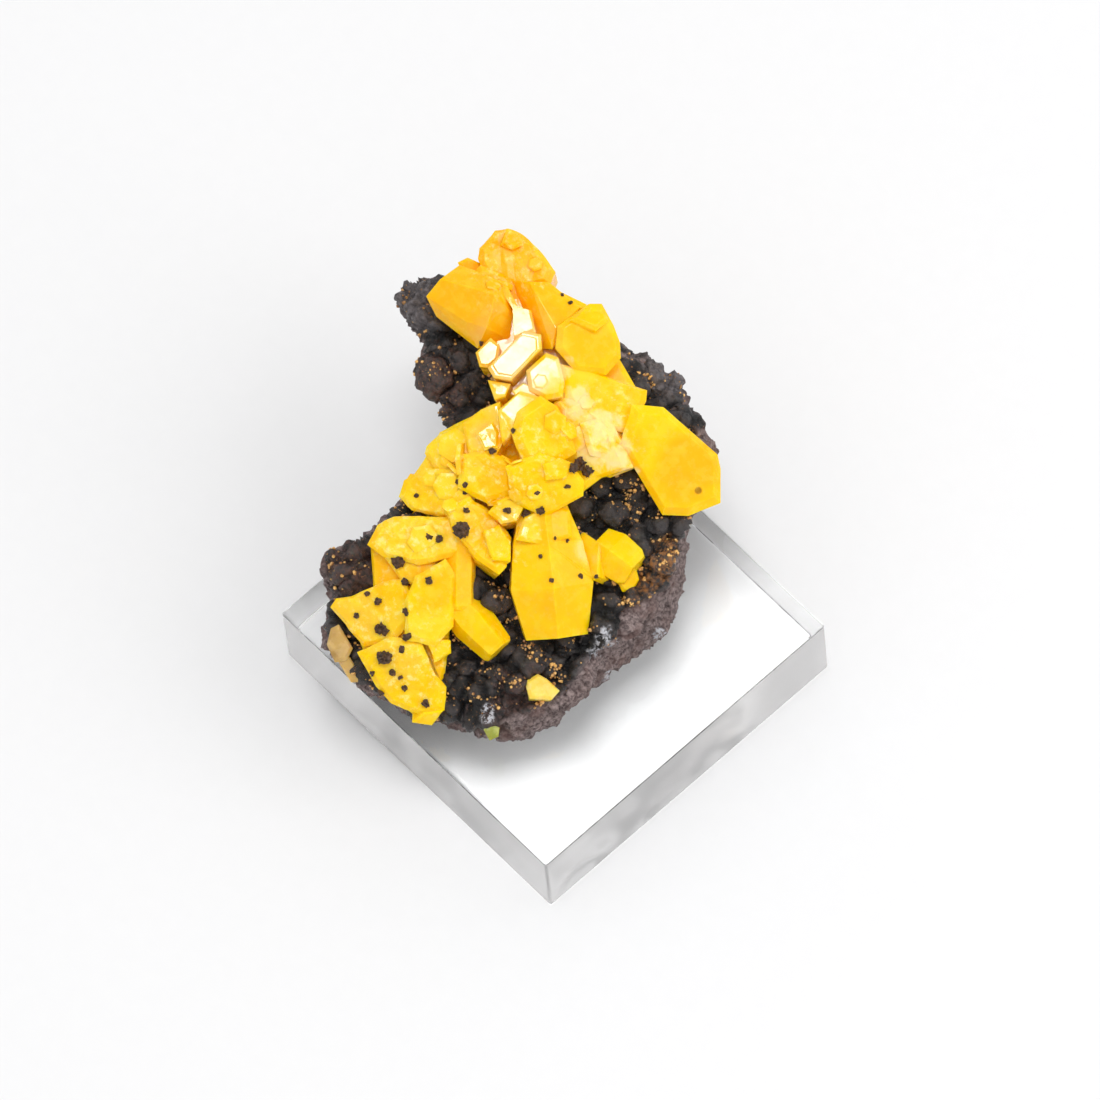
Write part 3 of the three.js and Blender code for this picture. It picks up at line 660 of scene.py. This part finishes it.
def crust_colour(rock, fine, broad):
    """Black crust, shade painted into the valleys and light onto the dome tops, and what lies on it."""
    tree = rock.tree
    dome = place(tree, "ShaderNodeAttribute", attribute_name="dome").outputs["Fac"]
    # Painted shade: the dome height darkens the valleys and lightens the dome tops, with noise of random
    # tone mixed in.
    painted_valley_shade = weighted(tree, (dome, 0.6), (fine, 0.5))
    colour = rock.mixed(ramp(tree, painted_valley_shade, 0.62, 1.15), shade(7, 6, 7), shade(66, 60, 60))
    smear = product(tree, rock.patches(SMEARED, 0.8), ramp(tree, fine, 0.42, 0.6), 0.8)
    colour = rock.mixed(smear, colour, shade(168, 110, 52))
    rust = product(tree, rock.patches(RUSTY, 0.9), ramp(tree, fine, 0.35, 0.65))
    colour = rock.mixed(rust, colour, shade(88, 60, 52))
    dust = ramp(tree, noise(tree, rock.point, 0.26 * MM, 3, 0.7), 0.62, 0.68)
    dust = product(tree, dust, ramp(tree, broad, 0.42, 0.58), 0.9)
    colour = rock.mixed(dust, colour, shade(190, 134, 78))
    green = product(tree, ramp(tree, noise(tree, rock.point, 1.3 * MM, 5), 0.6, 0.72), 0.4)
    return rock.mixed(green, colour, shade(88, 92, 80))


def stone_colour(rock, fine, broad):
    """Broken stone, mauve to brown."""
    colour = rock.mixed(ramp(rock.tree, fine, 0.3, 0.7), shade(74, 58, 58), shade(178, 158, 154))
    return rock.mixed(ramp(rock.tree, broad, 0.45, 0.7, 0.0, 0.7), colour, shade(120, 88, 80))


def rock_material():
    """Stone and crust, with grey chunks, white mineral and fine relief."""
    rock = Shading("gossan rock", Specular_IOR_Level=0.6)
    tree = rock.tree
    crust = place(tree, "ShaderNodeAttribute", attribute_name="crust").outputs["Fac"]
    fine = noise(tree, rock.point, 0.45 * MM, 6, 0.65)
    broad = noise(tree, rock.point, 3.2 * MM, 4)
    colour = rock.mixed(crust, stone_colour(rock, fine, broad), crust_colour(rock, fine, broad))
    grey = rock.mixed(ramp(tree, fine, 0.3, 0.75), shade(72, 66, 66), shade(134, 126, 128))
    colour = rock.mixed(product(tree, rock.patches(GREY_CHUNKS, 0.25), 0.85), colour, grey)
    crumbled = ramp(tree, noise(tree, rock.point, 0.5 * MM, 3, 0.7), 0.45, 0.55)
    white = product(tree, rock.patches(WHITE_MINERAL, 0.9), crumbled)
    rock.sends("Base Color", rock.mixed(white, colour, shade(216, 216, 222)))
    rock.sends("Roughness", ramp(tree, sums(tree, "SUBTRACT", crust, fine), -0.4, 0.6, 0.85, 0.28))
    under = rock.bumped(noise(tree, rock.point, 0.4 * MM, 5, 0.7), 0.35 * MM, 0.9)
    rock.sends("Normal", rock.bumped(noise(tree, rock.point, 0.14 * MM, 3, 0.7), 0.14 * MM, 1.0, under))
    return rock.material


ROCK = rock_material()
print("material:", ROCK.name)

# %% [markdown]
# ## The rock itself
#
# How far each point lies inside the edge of the crust is worked out here and stored on the mesh, where
# the tree finds it.

# %% Rock
ROCK_VOXEL = 0.225 * MM
LEFT_OF_EDGE, RIGHT_OF_EDGE = -40.0, 12.0
# Across and up, in millimetres: below this line the crust has broken away
CRUST_EDGE = (
    (-7.0, -19.0), (-5.0, -17.2), (-3.0, -16.2), (-0.2, -15.0), (2.5, -13.0), (4.2, -10.2),
    (5.6, -9.0), (7.2, -6.2), (9.0, -5.1), (11.0, -4.0), (12.9, -2.5), (13.4, 0.9), (14.2, 6.0),
)

rock_piece = bmesh_piece("rock", welded_copy("matrix"))
even = rock_piece.modifiers.new("even faces", "REMESH")
even.mode = "VOXEL"
even.voxel_size = ROCK_VOXEL
baked(rock_piece)
places = np.array([FACE.inverted() @ corner.co for corner in rock_piece.data.vertices]) / MM
edge_here = np.interp(places[:, 0], *zip(*CRUST_EDGE), left=LEFT_OF_EDGE, right=RIGHT_OF_EDGE)
inside = places[:, 1] - edge_here
rock_piece.data.attributes.new("inside", "FLOAT", "POINT").data.foreach_set("value", inside)
grown_by(rock_piece, ROCK_SURFACE, **{"Out": OUT[:], "Seat Height": BLOCK_TOP, "Material": ROCK})
rock_piece.data.shade_smooth()
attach(rock_piece, "root")
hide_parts("matrix")
print("rock:", triangles(rock_piece), "triangles")

# %% [markdown]
# ## The crystals
#
# Light goes a millimetre or so into mimetite before it comes back out, so the colour is carried by
# subsurface scattering under a satin surface. A few plates mirror the lamp: there the surface has a
# clear coat with a high index. Zones of other tones and frosted places follow the picture.

# %% Crystal material
CRYSTAL_IOR = 1.5
MIRROR_IOR = 2.1
GLOW_SHARE, GLOW_DEPTH, GLOW_TINT = 0.7, 0.8 * MM, (1.0, 0.7, 0.12)


def growth_marks():
    """What growth leaves inside every crystal: broad tones, clouds, small pale flecks and a grain."""
    group, start, end = new_group(
        "ShaderNodeTree", "growth marks",
        [("Point", VECTOR, None), ("Broad Size", NUMBER, 5 * MM), ("Cloud Size", NUMBER, 1.4 * MM),
         ("Fleck Size", NUMBER, 0.75 * MM)],
        [(mark, NUMBER, None) for mark in ("Broad", "Cloud", "Flecks", "Grain")],
    )
    broad = noise(group, start["Point"], start["Broad Size"], 3)
    cloud = noise(group, start["Point"], start["Cloud Size"], 6, 0.62)
    fleck = noise(group, start["Point"], start["Fleck Size"], 5, 0.68)
    group.links.new(ramp(group, broad, 0.38, 0.62), end["Broad"])
    group.links.new(ramp(group, cloud, 0.42, 0.7), end["Cloud"])
    group.links.new(ramp(group, fleck, 0.5, 0.72), end["Flecks"])
    group.links.new(fleck, end["Grain"])
    return group


GROWTH_MARKS = growth_marks()


def crystal_material(name, tones, zones=(), frosted=(), mirrors=(), relief=0.35):
    """Cloudy colour with zones of other tones, flecked where frosted, with a few mirror-bright places."""
    crystal = Shading(
        name, IOR=CRYSTAL_IOR, Subsurface_Weight=GLOW_SHARE, Subsurface_Radius=GLOW_TINT,
        Subsurface_Scale=GLOW_DEPTH, Specular_IOR_Level=0.2, Coat_IOR=MIRROR_IOR, Coat_Roughness=0.07,
    )
    tree = crystal.tree
    marks = tree.nodes.new("ShaderNodeGroup")
    marks.node_tree = GROWTH_MARKS
    tree.links.new(crystal.point, marks.inputs["Point"])
    broad, cloud, flecks, grain = marks.outputs
    colour = crystal.mixed(broad, tones["deep"], tones["main"])
    for tone, amount, ragged, spots in zones:
        share = product(tree, crystal.patches(spots, ragged), amount)
        colour = crystal.mixed(share, colour, tones[tone])
    colour = crystal.mixed(product(tree, cloud, 0.3), colour, tones["pale"])
    frost = product(tree, flecks, 0.12)
    if frosted:
        frost = sums(tree, "MAXIMUM", frost, product(tree, flecks, crystal.patches(frosted, 0.8)))
    colour = crystal.mixed(product(tree, frost, 0.8), colour, tones["frost"])
    crystal.sends("Base Color", colour)
    crystal.sends("Roughness", ramp(tree, cloud, 0.0, 1.0, 0.2, 0.45))
    crystal.sends("Normal", crystal.bumped(grain, 0.08 * MM, relief))
    if mirrors:
        dulled = ramp(tree, grain, 0.3, 0.6, 0.75, 0.45)
        crystal.sends("Coat Weight", product(tree, crystal.patches(mirrors, 0.12), dulled))
    return crystal.material


# Across, up and radius, in millimetres
FROSTED = (
    (-9.0, 7.0, 6.0), (-3.0, 8.0, 5.0), (-13.5, 1.5, 4.5), (-16.0, -7.0, 5.5), (-13.0, -12.0, 4.5),
    (5.0, 12.0, 4.5), (-5.0, 2.0, 4.0), (-4.0, 28.5, 4.5), (-3.5, 11.5, 2.4),
)
YELLOW = crystal_material(
    "yellow mimetite",
    {
        "main": shade(255, 206, 0), "deep": shade(254, 192, 0), "pale": shade(255, 220, 60),
        "orange": shade(253, 180, 2), "milk": shade(255, 240, 200), "frost": shade(255, 234, 150),
        "brown": shade(232, 182, 50), "spot": shade(150, 100, 10), "rosy": shade(255, 222, 190),
    },
    # Tone, amount, how ragged, and places
    zones=(
        ("orange", 0.85, 0.15, ((-5.5, 26.5, 9.0), (14.0, 8.5, 4.0))),
        ("milk", 0.5, 0.9, (
            (1.0, 18.0, 1.3), (2.8, 15.0, 1.8), (5.0, 12.0, 2.0), (7.2, 9.0, 1.7), (4.2, 9.2, 1.4),
        )),
        ("rosy", 0.3, 0.1, ((-2.4, 21.4, 1.4), (-4.0, 18.4, 2.2), (-1.6, 16.8, 1.8))),
        ("pale", 0.5, 0.9, ((-10.0, 8.5, 4.0), (-13.0, 1.5, 4.0), (-19.0, -6.0, 3.0), (-14.0, -8.5, 4.0))),
        ("brown", 0.5, 0.9, ((-19.5, -6.5, 2.6), (-15.5, -11.5, 2.5))),
        ("spot", 0.9, 0.0, ((14.7, 5.9, 0.42),)),
    ),
    frosted=FROSTED,
    mirrors=((-3.4, 20.0, 5.2), (-6.4, 11.4, 1.8), (-3.4, 2.8, 1.6), (3.9, 0.0, 1.6), (-4.6, 14.5, 2.4)),
)
print("material:", YELLOW.name)

# %% [markdown]
# ## The crystal cluster
#
# Crystals are flat faces with crisp edges. The CAD cluster already has them, so a copy is welded, its
# coplanar triangles are joined back to whole faces, and every real edge gets a hair-thin bevel that
# catches the light. Then long edges are halved, so that a tree can make the faces sag a little.

# %% Crystal cluster
FLAT_ENOUGH = math.radians(0.8)
BEVEL_FROM = math.radians(14)
EDGE_BEVEL = 0.03 * MM
SHORT_EDGE = 0.06 * MM
LONGEST_EDGE = 0.8 * MM
HALVINGS = 4


def finer(skin):
    """Long edges halved a few times, with every face still flat."""
    for _ in range(HALVINGS):
        long_edges = [edge for edge in skin.edges if edge.calc_length() > LONGEST_EDGE]
        bmesh.ops.subdivide_edges(skin, edges=long_edges, cuts=1)
        bmesh.ops.triangulate(skin, faces=skin.faces[:])


def put_in_order(skin, old):
    """New faces fill the gaps that a bevel leaves, in an order that changes with each run: sort them."""
    skin.verts.index_update()
    order = list(skin.faces)
    last_old = max(index for index, face in enumerate(order) if face in old)
    gaps = [index for index, face in enumerate(order[:last_old]) if face not in old]
    filling = [order[index] for index in gaps]
    filling.sort(key=lambda face: [corner.index for corner in face.verts])
    ranks = {face: index for index, face in enumerate(order)}
    ranks.update(zip(filling, gaps))
    skin.faces.sort(key=ranks.get)


def faceted_piece(name, node, material):
    """A CAD crystal with whole faces and hair-thin bevels."""
    skin = welded_copy(node)
    bmesh.ops.dissolve_limit(skin, angle_limit=FLAT_ENOUGH, verts=skin.verts[:], edges=skin.edges[:])
    bmesh.ops.dissolve_degenerate(skin, dist=SHORT_EDGE, edges=skin.edges[:])
    sharp = [
        edge for edge in skin.edges
        if edge.is_manifold and edge.calc_face_angle() > BEVEL_FROM and edge.calc_length() > 3 * EDGE_BEVEL
    ]
    bmesh.ops.bevel(
        skin, geom=sharp, offset=EDGE_BEVEL, segments=1, profile=0.5, affect="EDGES", clamp_overlap=False,
    )
    old = set(skin.faces)
    bmesh.ops.triangulate(skin, faces=skin.faces[:])
    put_in_order(skin, old)
    finer(skin)
    return bmesh_piece(name, skin, material)


def uneven_tree():
    """Growth isn't perfect: faces sag a little and edges wander, more so where crystals are frosted."""
    group, start, end = geometry_tree("uneven growth", [
        ("Wander", NUMBER, 0.05 * MM), ("Frosted Wander", NUMBER, 0.5 * MM), ("Size", NUMBER, 1.3 * MM),
    ])
    point = at_point(group, "Position")
    frosted = patches(group, "GeometryNodeGroup", GROWTH_PATCH, point, FROSTED, 0.5)
    reach = ramp(group, frosted, 0.0, 1.0, start["Wander"], start["Frosted Wander"])
    wander = noise_vector(group, point, sums(group, "DIVIDE", 1.0, start["Size"]), 3.0)
    wander = vectors(group, "SUBTRACT", wander, (0.5, 0.5, 0.5))
    inputs = {"Geometry": start["Geometry"], "Offset": scaled(group, wander, reach)}
    moved = place(group, "GeometryNodeSetPosition", inputs).outputs[0]
    return finish_tree(group, start, end, moved)


UNEVEN = uneven_tree()
crystals = faceted_piece("mimetite_crystals", "crystal_cluster", YELLOW)
grown_by(crystals, UNEVEN, Material=YELLOW)
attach(crystals, "root")
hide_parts("crystal_cluster")
print("crystals:", triangles(crystals), "triangles")

# %% [markdown]
# ## The small crystals around the cluster
#
# Three smaller growths have a finish of their own: dull tan plates at the left edge, a pale yellow
# crystal near the front, and a green-yellow one on the front tip. They take the same faces and
# bevels, and the same kind of material with other colours.

# %% Small crystals
# Finish, main tone, deep tone and pale tone
SMALL_CRYSTALS = {
    "tan_plates": ("tan_crystal", shade(206, 172, 104), shade(160, 126, 72), shade(230, 208, 158)),
    "loose_front_crystal": ("pale_crystal", shade(255, 218, 96), shade(246, 196, 70), shade(255, 238, 176)),
    "green_crystal": ("green_crystal", shade(196, 196, 96), shade(150, 156, 66), shade(230, 230, 170)),
}
SMALL_RELIEF = 0.9
for node, (finish, main, deep, pale) in SMALL_CRYSTALS.items():
    own_tones = {"main": main, "deep": deep, "pale": pale, "frost": pale}
    own_material = crystal_material(node.replace("_", " "), own_tones, relief=SMALL_RELIEF)
    small = faceted_piece(node + "_piece", node, own_material)
    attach(small, "root")
    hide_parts(node)
    print(small.name, triangles(small), "triangles")

# %% [markdown]
# ## Small growths on the crystals
#
# The left half of the cluster isn't made of clean prisms: thin six-sided plates have grown on and into
# one another. Points are scattered evenly over the crystals, those outside the wanted patches are
# dropped, and each of the others gets a plate with a chamfered top, laid on its face and half sunk in
# it. The plates are too thin for light to go far into them, so their material leaves that out.

# %% Growth tree
SIDES = 6
# Radius and height of each ring of corners
PLATE_RINGS = ((0.5, -0.5), (0.5, 0.3), (0.38, 0.5))


def plate_mesh():
    """A six-sided plate of width 1 with a chamfered top, its middle at the origin."""
    skin = bmesh.new()
    angles = [2 * math.pi * step / SIDES for step in range(SIDES)]
    rings = [
        [skin.verts.new((radius * math.cos(angle), radius * math.sin(angle), height)) for angle in angles]
        for radius, height in PLATE_RINGS
    ]
    for low, high in zip(rings, rings[1:]):
        for step in range(SIDES):
            after = (step + 1) % SIDES
            skin.faces.new((low[step], low[after], high[after], high[step]))
    skin.faces.new(rings[-1])
    skin.faces.new(rings[0][::-1])
    mesh = bpy.data.meshes.new("growth plate")
    skin.to_mesh(mesh)
    skin.free()
    return mesh


def growth_tree(name, seed, places_wanted):
    """Plates scattered on the wanted places of a mesh."""
    group, start, end = geometry_tree(name, [
        ("Plate", "NodeSocketObject", None), ("Density", NUMBER, 1.0), ("Smallest", NUMBER, 1.6 * MM),
        ("Largest", NUMBER, 3.0 * MM), ("Thickness", NUMBER, 0.22), ("Tilt", NUMBER, 0.09),
    ])
    points, flat_turn = scattered(group, start["Geometry"], start["Density"], seed)
    point = at_point(group, "Position")
    wanted = patches(group, "GeometryNodeGroup", GROWTH_PATCH, point, places_wanted, 0.6)
    inputs = {0: wanted, 1: random_number(group, seed + 1)}
    dropped = place(group, "FunctionNodeCompare", inputs, operation="LESS_THAN").outputs[0]
    kept = place(group, "GeometryNodeDeleteGeometry", {0: points, 1: dropped}, domain="POINT").outputs[0]
    size = sums(group, "POWER", random_number(group, seed + 2), 2.0)
    size = ramp(group, size, 0.0, 1.0, start["Smallest"], start["Largest"])
    low, high = product(group, start["Tilt"], -1.0), start["Tilt"]
    tilt = random_vector(
        group, seed + 3, vector_of(group, low, low, low), vector_of(group, high, high, high),
    )
    options = {"rotation_space": "LOCAL"}
    turned = place(group, "FunctionNodeRotateRotation", {0: flat_turn, 1: tilt}, **options).outputs[0]
    plate = place(group, "GeometryNodeObjectInfo", {0: start["Plate"]}).outputs["Geometry"]
    scale = vector_of(group, size, size, product(group, size, start["Thickness"]))
    return finish_tree(group, start, end, set_out(group, kept, plate, turned, scale))


# Points a square metre, largest plate in millimetres, thickness for a width of 1, tilt in radians, and
# patches across, up and radius in millimetres
GROWTHS = {
    "left_growths": (1.6e5, 3.6, 0.16, 0.05, ((-9.5, 7.5, 4.0), (-4.5, 7.0, 4.0), (-13.5, 1.5, 3.0))),
    "middle_growths": (1.6e5, 3.2, 0.2, 0.1, ((3.0, 13.0, 2.6), (6.5, 10.5, 2.4), (0.0, 15.5, 1.6))),
    "top_growths": (1.2e5, 3.8, 0.35, 0.15, ((-4.0, 27.5, 3.0),)),
}
SEEDS_A_TREE = 5
plain_yellow = YELLOW.copy()
plain_yellow.name = "yellow mimetite plates"
plain_yellow.node_tree.nodes["Principled BSDF"].inputs["Subsurface Weight"].default_value = 0.0
growth_plate = new_piece("growth_plate", plate_mesh())
for step, (name, (density, largest, thickness, tilt, wanted)) in enumerate(GROWTHS.items()):
    growths = grown_by(
        new_piece(name, crystals.data.copy()), growth_tree(name, SEEDS_A_TREE * step, wanted),
        Plate=growth_plate, Density=density, Largest=largest * MM, Thickness=thickness, Tilt=tilt,
        Material=plain_yellow,
    )
    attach(growths, "root")
    print(name, triangles(growths), "triangles")
bpy.data.objects.remove(growth_plate)

# %% [markdown]
# ## Dark grains on the crystals
#
# Dark-brown oxide grains sit on the left half of the cluster. Each one is put where the picture shows
# it: a ray is shot at that place of the face, and the grain sits where the ray meets a crystal.
# Geometry Nodes put a rough little ball on every point, turned at random, and make them all one mesh.

# %% Grain tree
BALL_STEPS = 3
STRETCH = ((0.7, 0.7, 0.6), (1.25, 1.2, 1.0))
GRAIN_SEED = 4


def grain_tree(name, seed):
    """A rough ball on every point, of the size that the point says."""
    group, start, end = geometry_tree(name, [("Roughness", NUMBER, 0.6)])
    inputs = {"Radius": 1.0, "Subdivisions": BALL_STEPS}
    ball = place(group, "GeometryNodeMeshIcoSphere", inputs).outputs[0]
    points = place(group, "GeometryNodeMeshToPoints", {0: start["Geometry"]}).outputs[0]
    size = attribute(group, "size")
    stretch = random_vector(group, seed + 1, *STRETCH)
    balls = set_out(group, points, ball, any_turn(group, seed), scaled(group, stretch, size))
    point, normal = at_point(group, "Position"), at_point(group, "Normal")
    rough = swing(group, point, 0.28 * MM, 3)
    lift = product(group, rough, start["Roughness"], product(group, size, 4.0))
    inputs = {"Geometry": balls, "Offset": scaled(group, normal, lift)}
    uneven = place(group, "GeometryNodeSetPosition", inputs).outputs[0]
    return finish_tree(group, start, end, uneven)


def surface_of(piece):
    """A piece's faces, ready to be met by rays."""
    mesh = piece.data
    return BVHTree.FromPolygons([v.co for v in mesh.vertices], [tuple(p.vertices) for p in mesh.polygons])


CRYSTAL_SKIN = surface_of(crystals)
ROCK_SKIN = surface_of(rock_piece)
FAR_OUT = 60.0


def first_hit(across, up):
    """Where a ray into the face first meets a crystal, or else the rock."""
    start = on_face(across, up, FAR_OUT)
    for skin in (CRYSTAL_SKIN, ROCK_SKIN):
        spot, normal, _, _ = skin.ray_cast(start, -OUT)
        if spot:
            return spot, normal
    return None, None


def points_piece(name, spots):
    """A mesh of bare points, each with its size."""
    mesh = bpy.data.meshes.new(name)
    mesh.from_pydata([spot for spot, _ in spots], [], [])
    sizes = mesh.attributes.new("size", "FLOAT", "POINT")
    sizes.data.foreach_set("value", [size for _, size in spots])
    return new_piece(name, mesh)


print("grain helpers ready")

# %% [markdown]
# The places of the grains, read from the picture, and their material.

# %% Dark grains
# Across, up, and half width, in millimetres
GRAINS = (
    (-3.6, 11.8, 0.30), (-5.7, 9.9, 0.35), (-8.4, 6.4, 0.30), (-8.4, 5.7, 0.28), (-9.1, 6.8, 0.25),
    (-13.2, 5.4, 0.30), (-8.3, 3.9, 0.30), (-8.8, 2.0, 0.75), (-12.0, 1.3, 0.35), (-10.9, 1.1, 0.35),
    (-15.0, -1.0, 0.65), (-14.4, -3.2, 0.35), (-12.0, -3.0, 0.38), (-18.1, -4.3, 0.30),
    (-17.0, -5.1, 0.36), (-19.2, -6.5, 0.30), (-14.2, -6.1, 0.40), (-16.7, -7.8, 0.62),
    (-14.1, -8.6, 0.40), (-16.4, -10.6, 0.60), (-14.7, -9.8, 0.35), (-15.6, -12.1, 0.32),
    (-17.6, -12.2, 0.30), (-14.8, -12.6, 0.30), (-14.4, -13.7, 0.32), (-16.7, -14.1, 0.30),
    (-12.3, -15.2, 0.36), (-2.3, 3.5, 0.45), (-0.9, 3.9, 0.42), (-4.2, 3.9, 0.36), (-1.3, 5.6, 0.28),
    (1.7, 6.3, 0.28), (1.7, 0.9, 0.20), (0.5, 1.2, 0.20), (0.2, -3.0, 0.24), (3.0, -2.6, 0.24),
    (4.6, -2.6, 0.24), (-0.9, -0.6, 0.22), (-0.1, -13.7, 0.24), (2.2, 8.1, 0.55), (3.0, 8.5, 0.55),
    (3.8, 7.8, 0.55), (1.2, 25.3, 0.22), (2.0, 24.5, 0.22), (-6.8, 20.6, 0.25),
)
RAISED = 0.25

grain_spots = []
for across, up, half in GRAINS:
    spot, normal = first_hit(across, up)
    if spot:
        grain_spots.append((spot + normal * half * MM * RAISED, half * MM))
oxide = Shading("dark oxide", Roughness=0.55, Specular_IOR_Level=0.5)
oxide.two_toned(0.3 * MM, 4, 0.3, 0.7, shade(38, 24, 14), shade(92, 62, 38))
oxide.sends("Normal", oxide.bumped(noise(oxide.tree, oxide.point, 0.12 * MM, 3), 0.05 * MM, 0.7))
grains = grown_by(
    points_piece("dark_grains", grain_spots), grain_tree("rough grains", GRAIN_SEED),
    Material=oxide.material,
)
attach(grains, "root")
print(len(grain_spots), "grains,", triangles(grains), "triangles")

# %% [markdown]
# ## Tan specks on the crust
#
# The black crust is sprinkled with crumbs of mimetite, far too many to place by hand. Geometry Nodes
# scatter points on the rock where the crust attribute is high and a broad noise allows, and set a
# small faceted crumb on each.

# %% Speck tree
# Across, up and radius, in millimetres
RICH_PLACES = ((11.5, -1.5, 3.5), (7.5, 6.0, 3.0), (9.0, -4.5, 3.0), (12.5, 3.0, 2.5), (-2.0, -12.0, 3.0))


SPECK_SEED = 11
SPECK_DENSITY = 1.2e7


def speck_tree(name, seed):
    """Crumbs scattered on the crust, more of them in rich places."""
    group, start, end = geometry_tree(name, [
        ("Density", NUMBER, 1.0), ("Smallest", NUMBER, 0.07 * MM), ("Largest", NUMBER, 0.24 * MM),
    ])
    point = at_point(group, "Position")
    here = ramp(group, noise(group, point, 1.8 * MM, 4), 0.5, 0.66)
    rich = patches(group, "GeometryNodeGroup", GROWTH_PATCH, point, RICH_PLACES, 0.7)
    here = product(group, here, sums(group, "ADD", 0.5, rich))
    density = product(group, attribute(group, "crust"), here, start["Density"])
    points, _ = scattered(group, start["Geometry"], density, seed)
    crumb = place(group, "GeometryNodeMeshIcoSphere", {"Radius": 1.0, "Subdivisions": 1}).outputs[0]
    size = random_number(group, seed + 1, start["Smallest"], start["Largest"])
    share = sums(group, "DIVIDE", size, start["Largest"])
    skewed = product(group, size, sums(group, "POWER", share, 1.6))
    crumbs = set_out(group, points, crumb, any_turn(group, seed + 2), skewed)
    return finish_tree(group, start, end, crumbs)


tan = Shading("tan crumb", Roughness=0.35, Specular_IOR_Level=0.6)
tan.two_toned(0.5 * MM, 3, 0.35, 0.65, shade(140, 92, 48), shade(238, 188, 110))
specks = grown_by(
    new_piece("tan_specks", rock_piece.data.copy()), speck_tree("crumbs on crust", SPECK_SEED),
    Density=SPECK_DENSITY, Material=tan.material,
)
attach(specks, "root")
print("specks:", triangles(specks), "triangles")
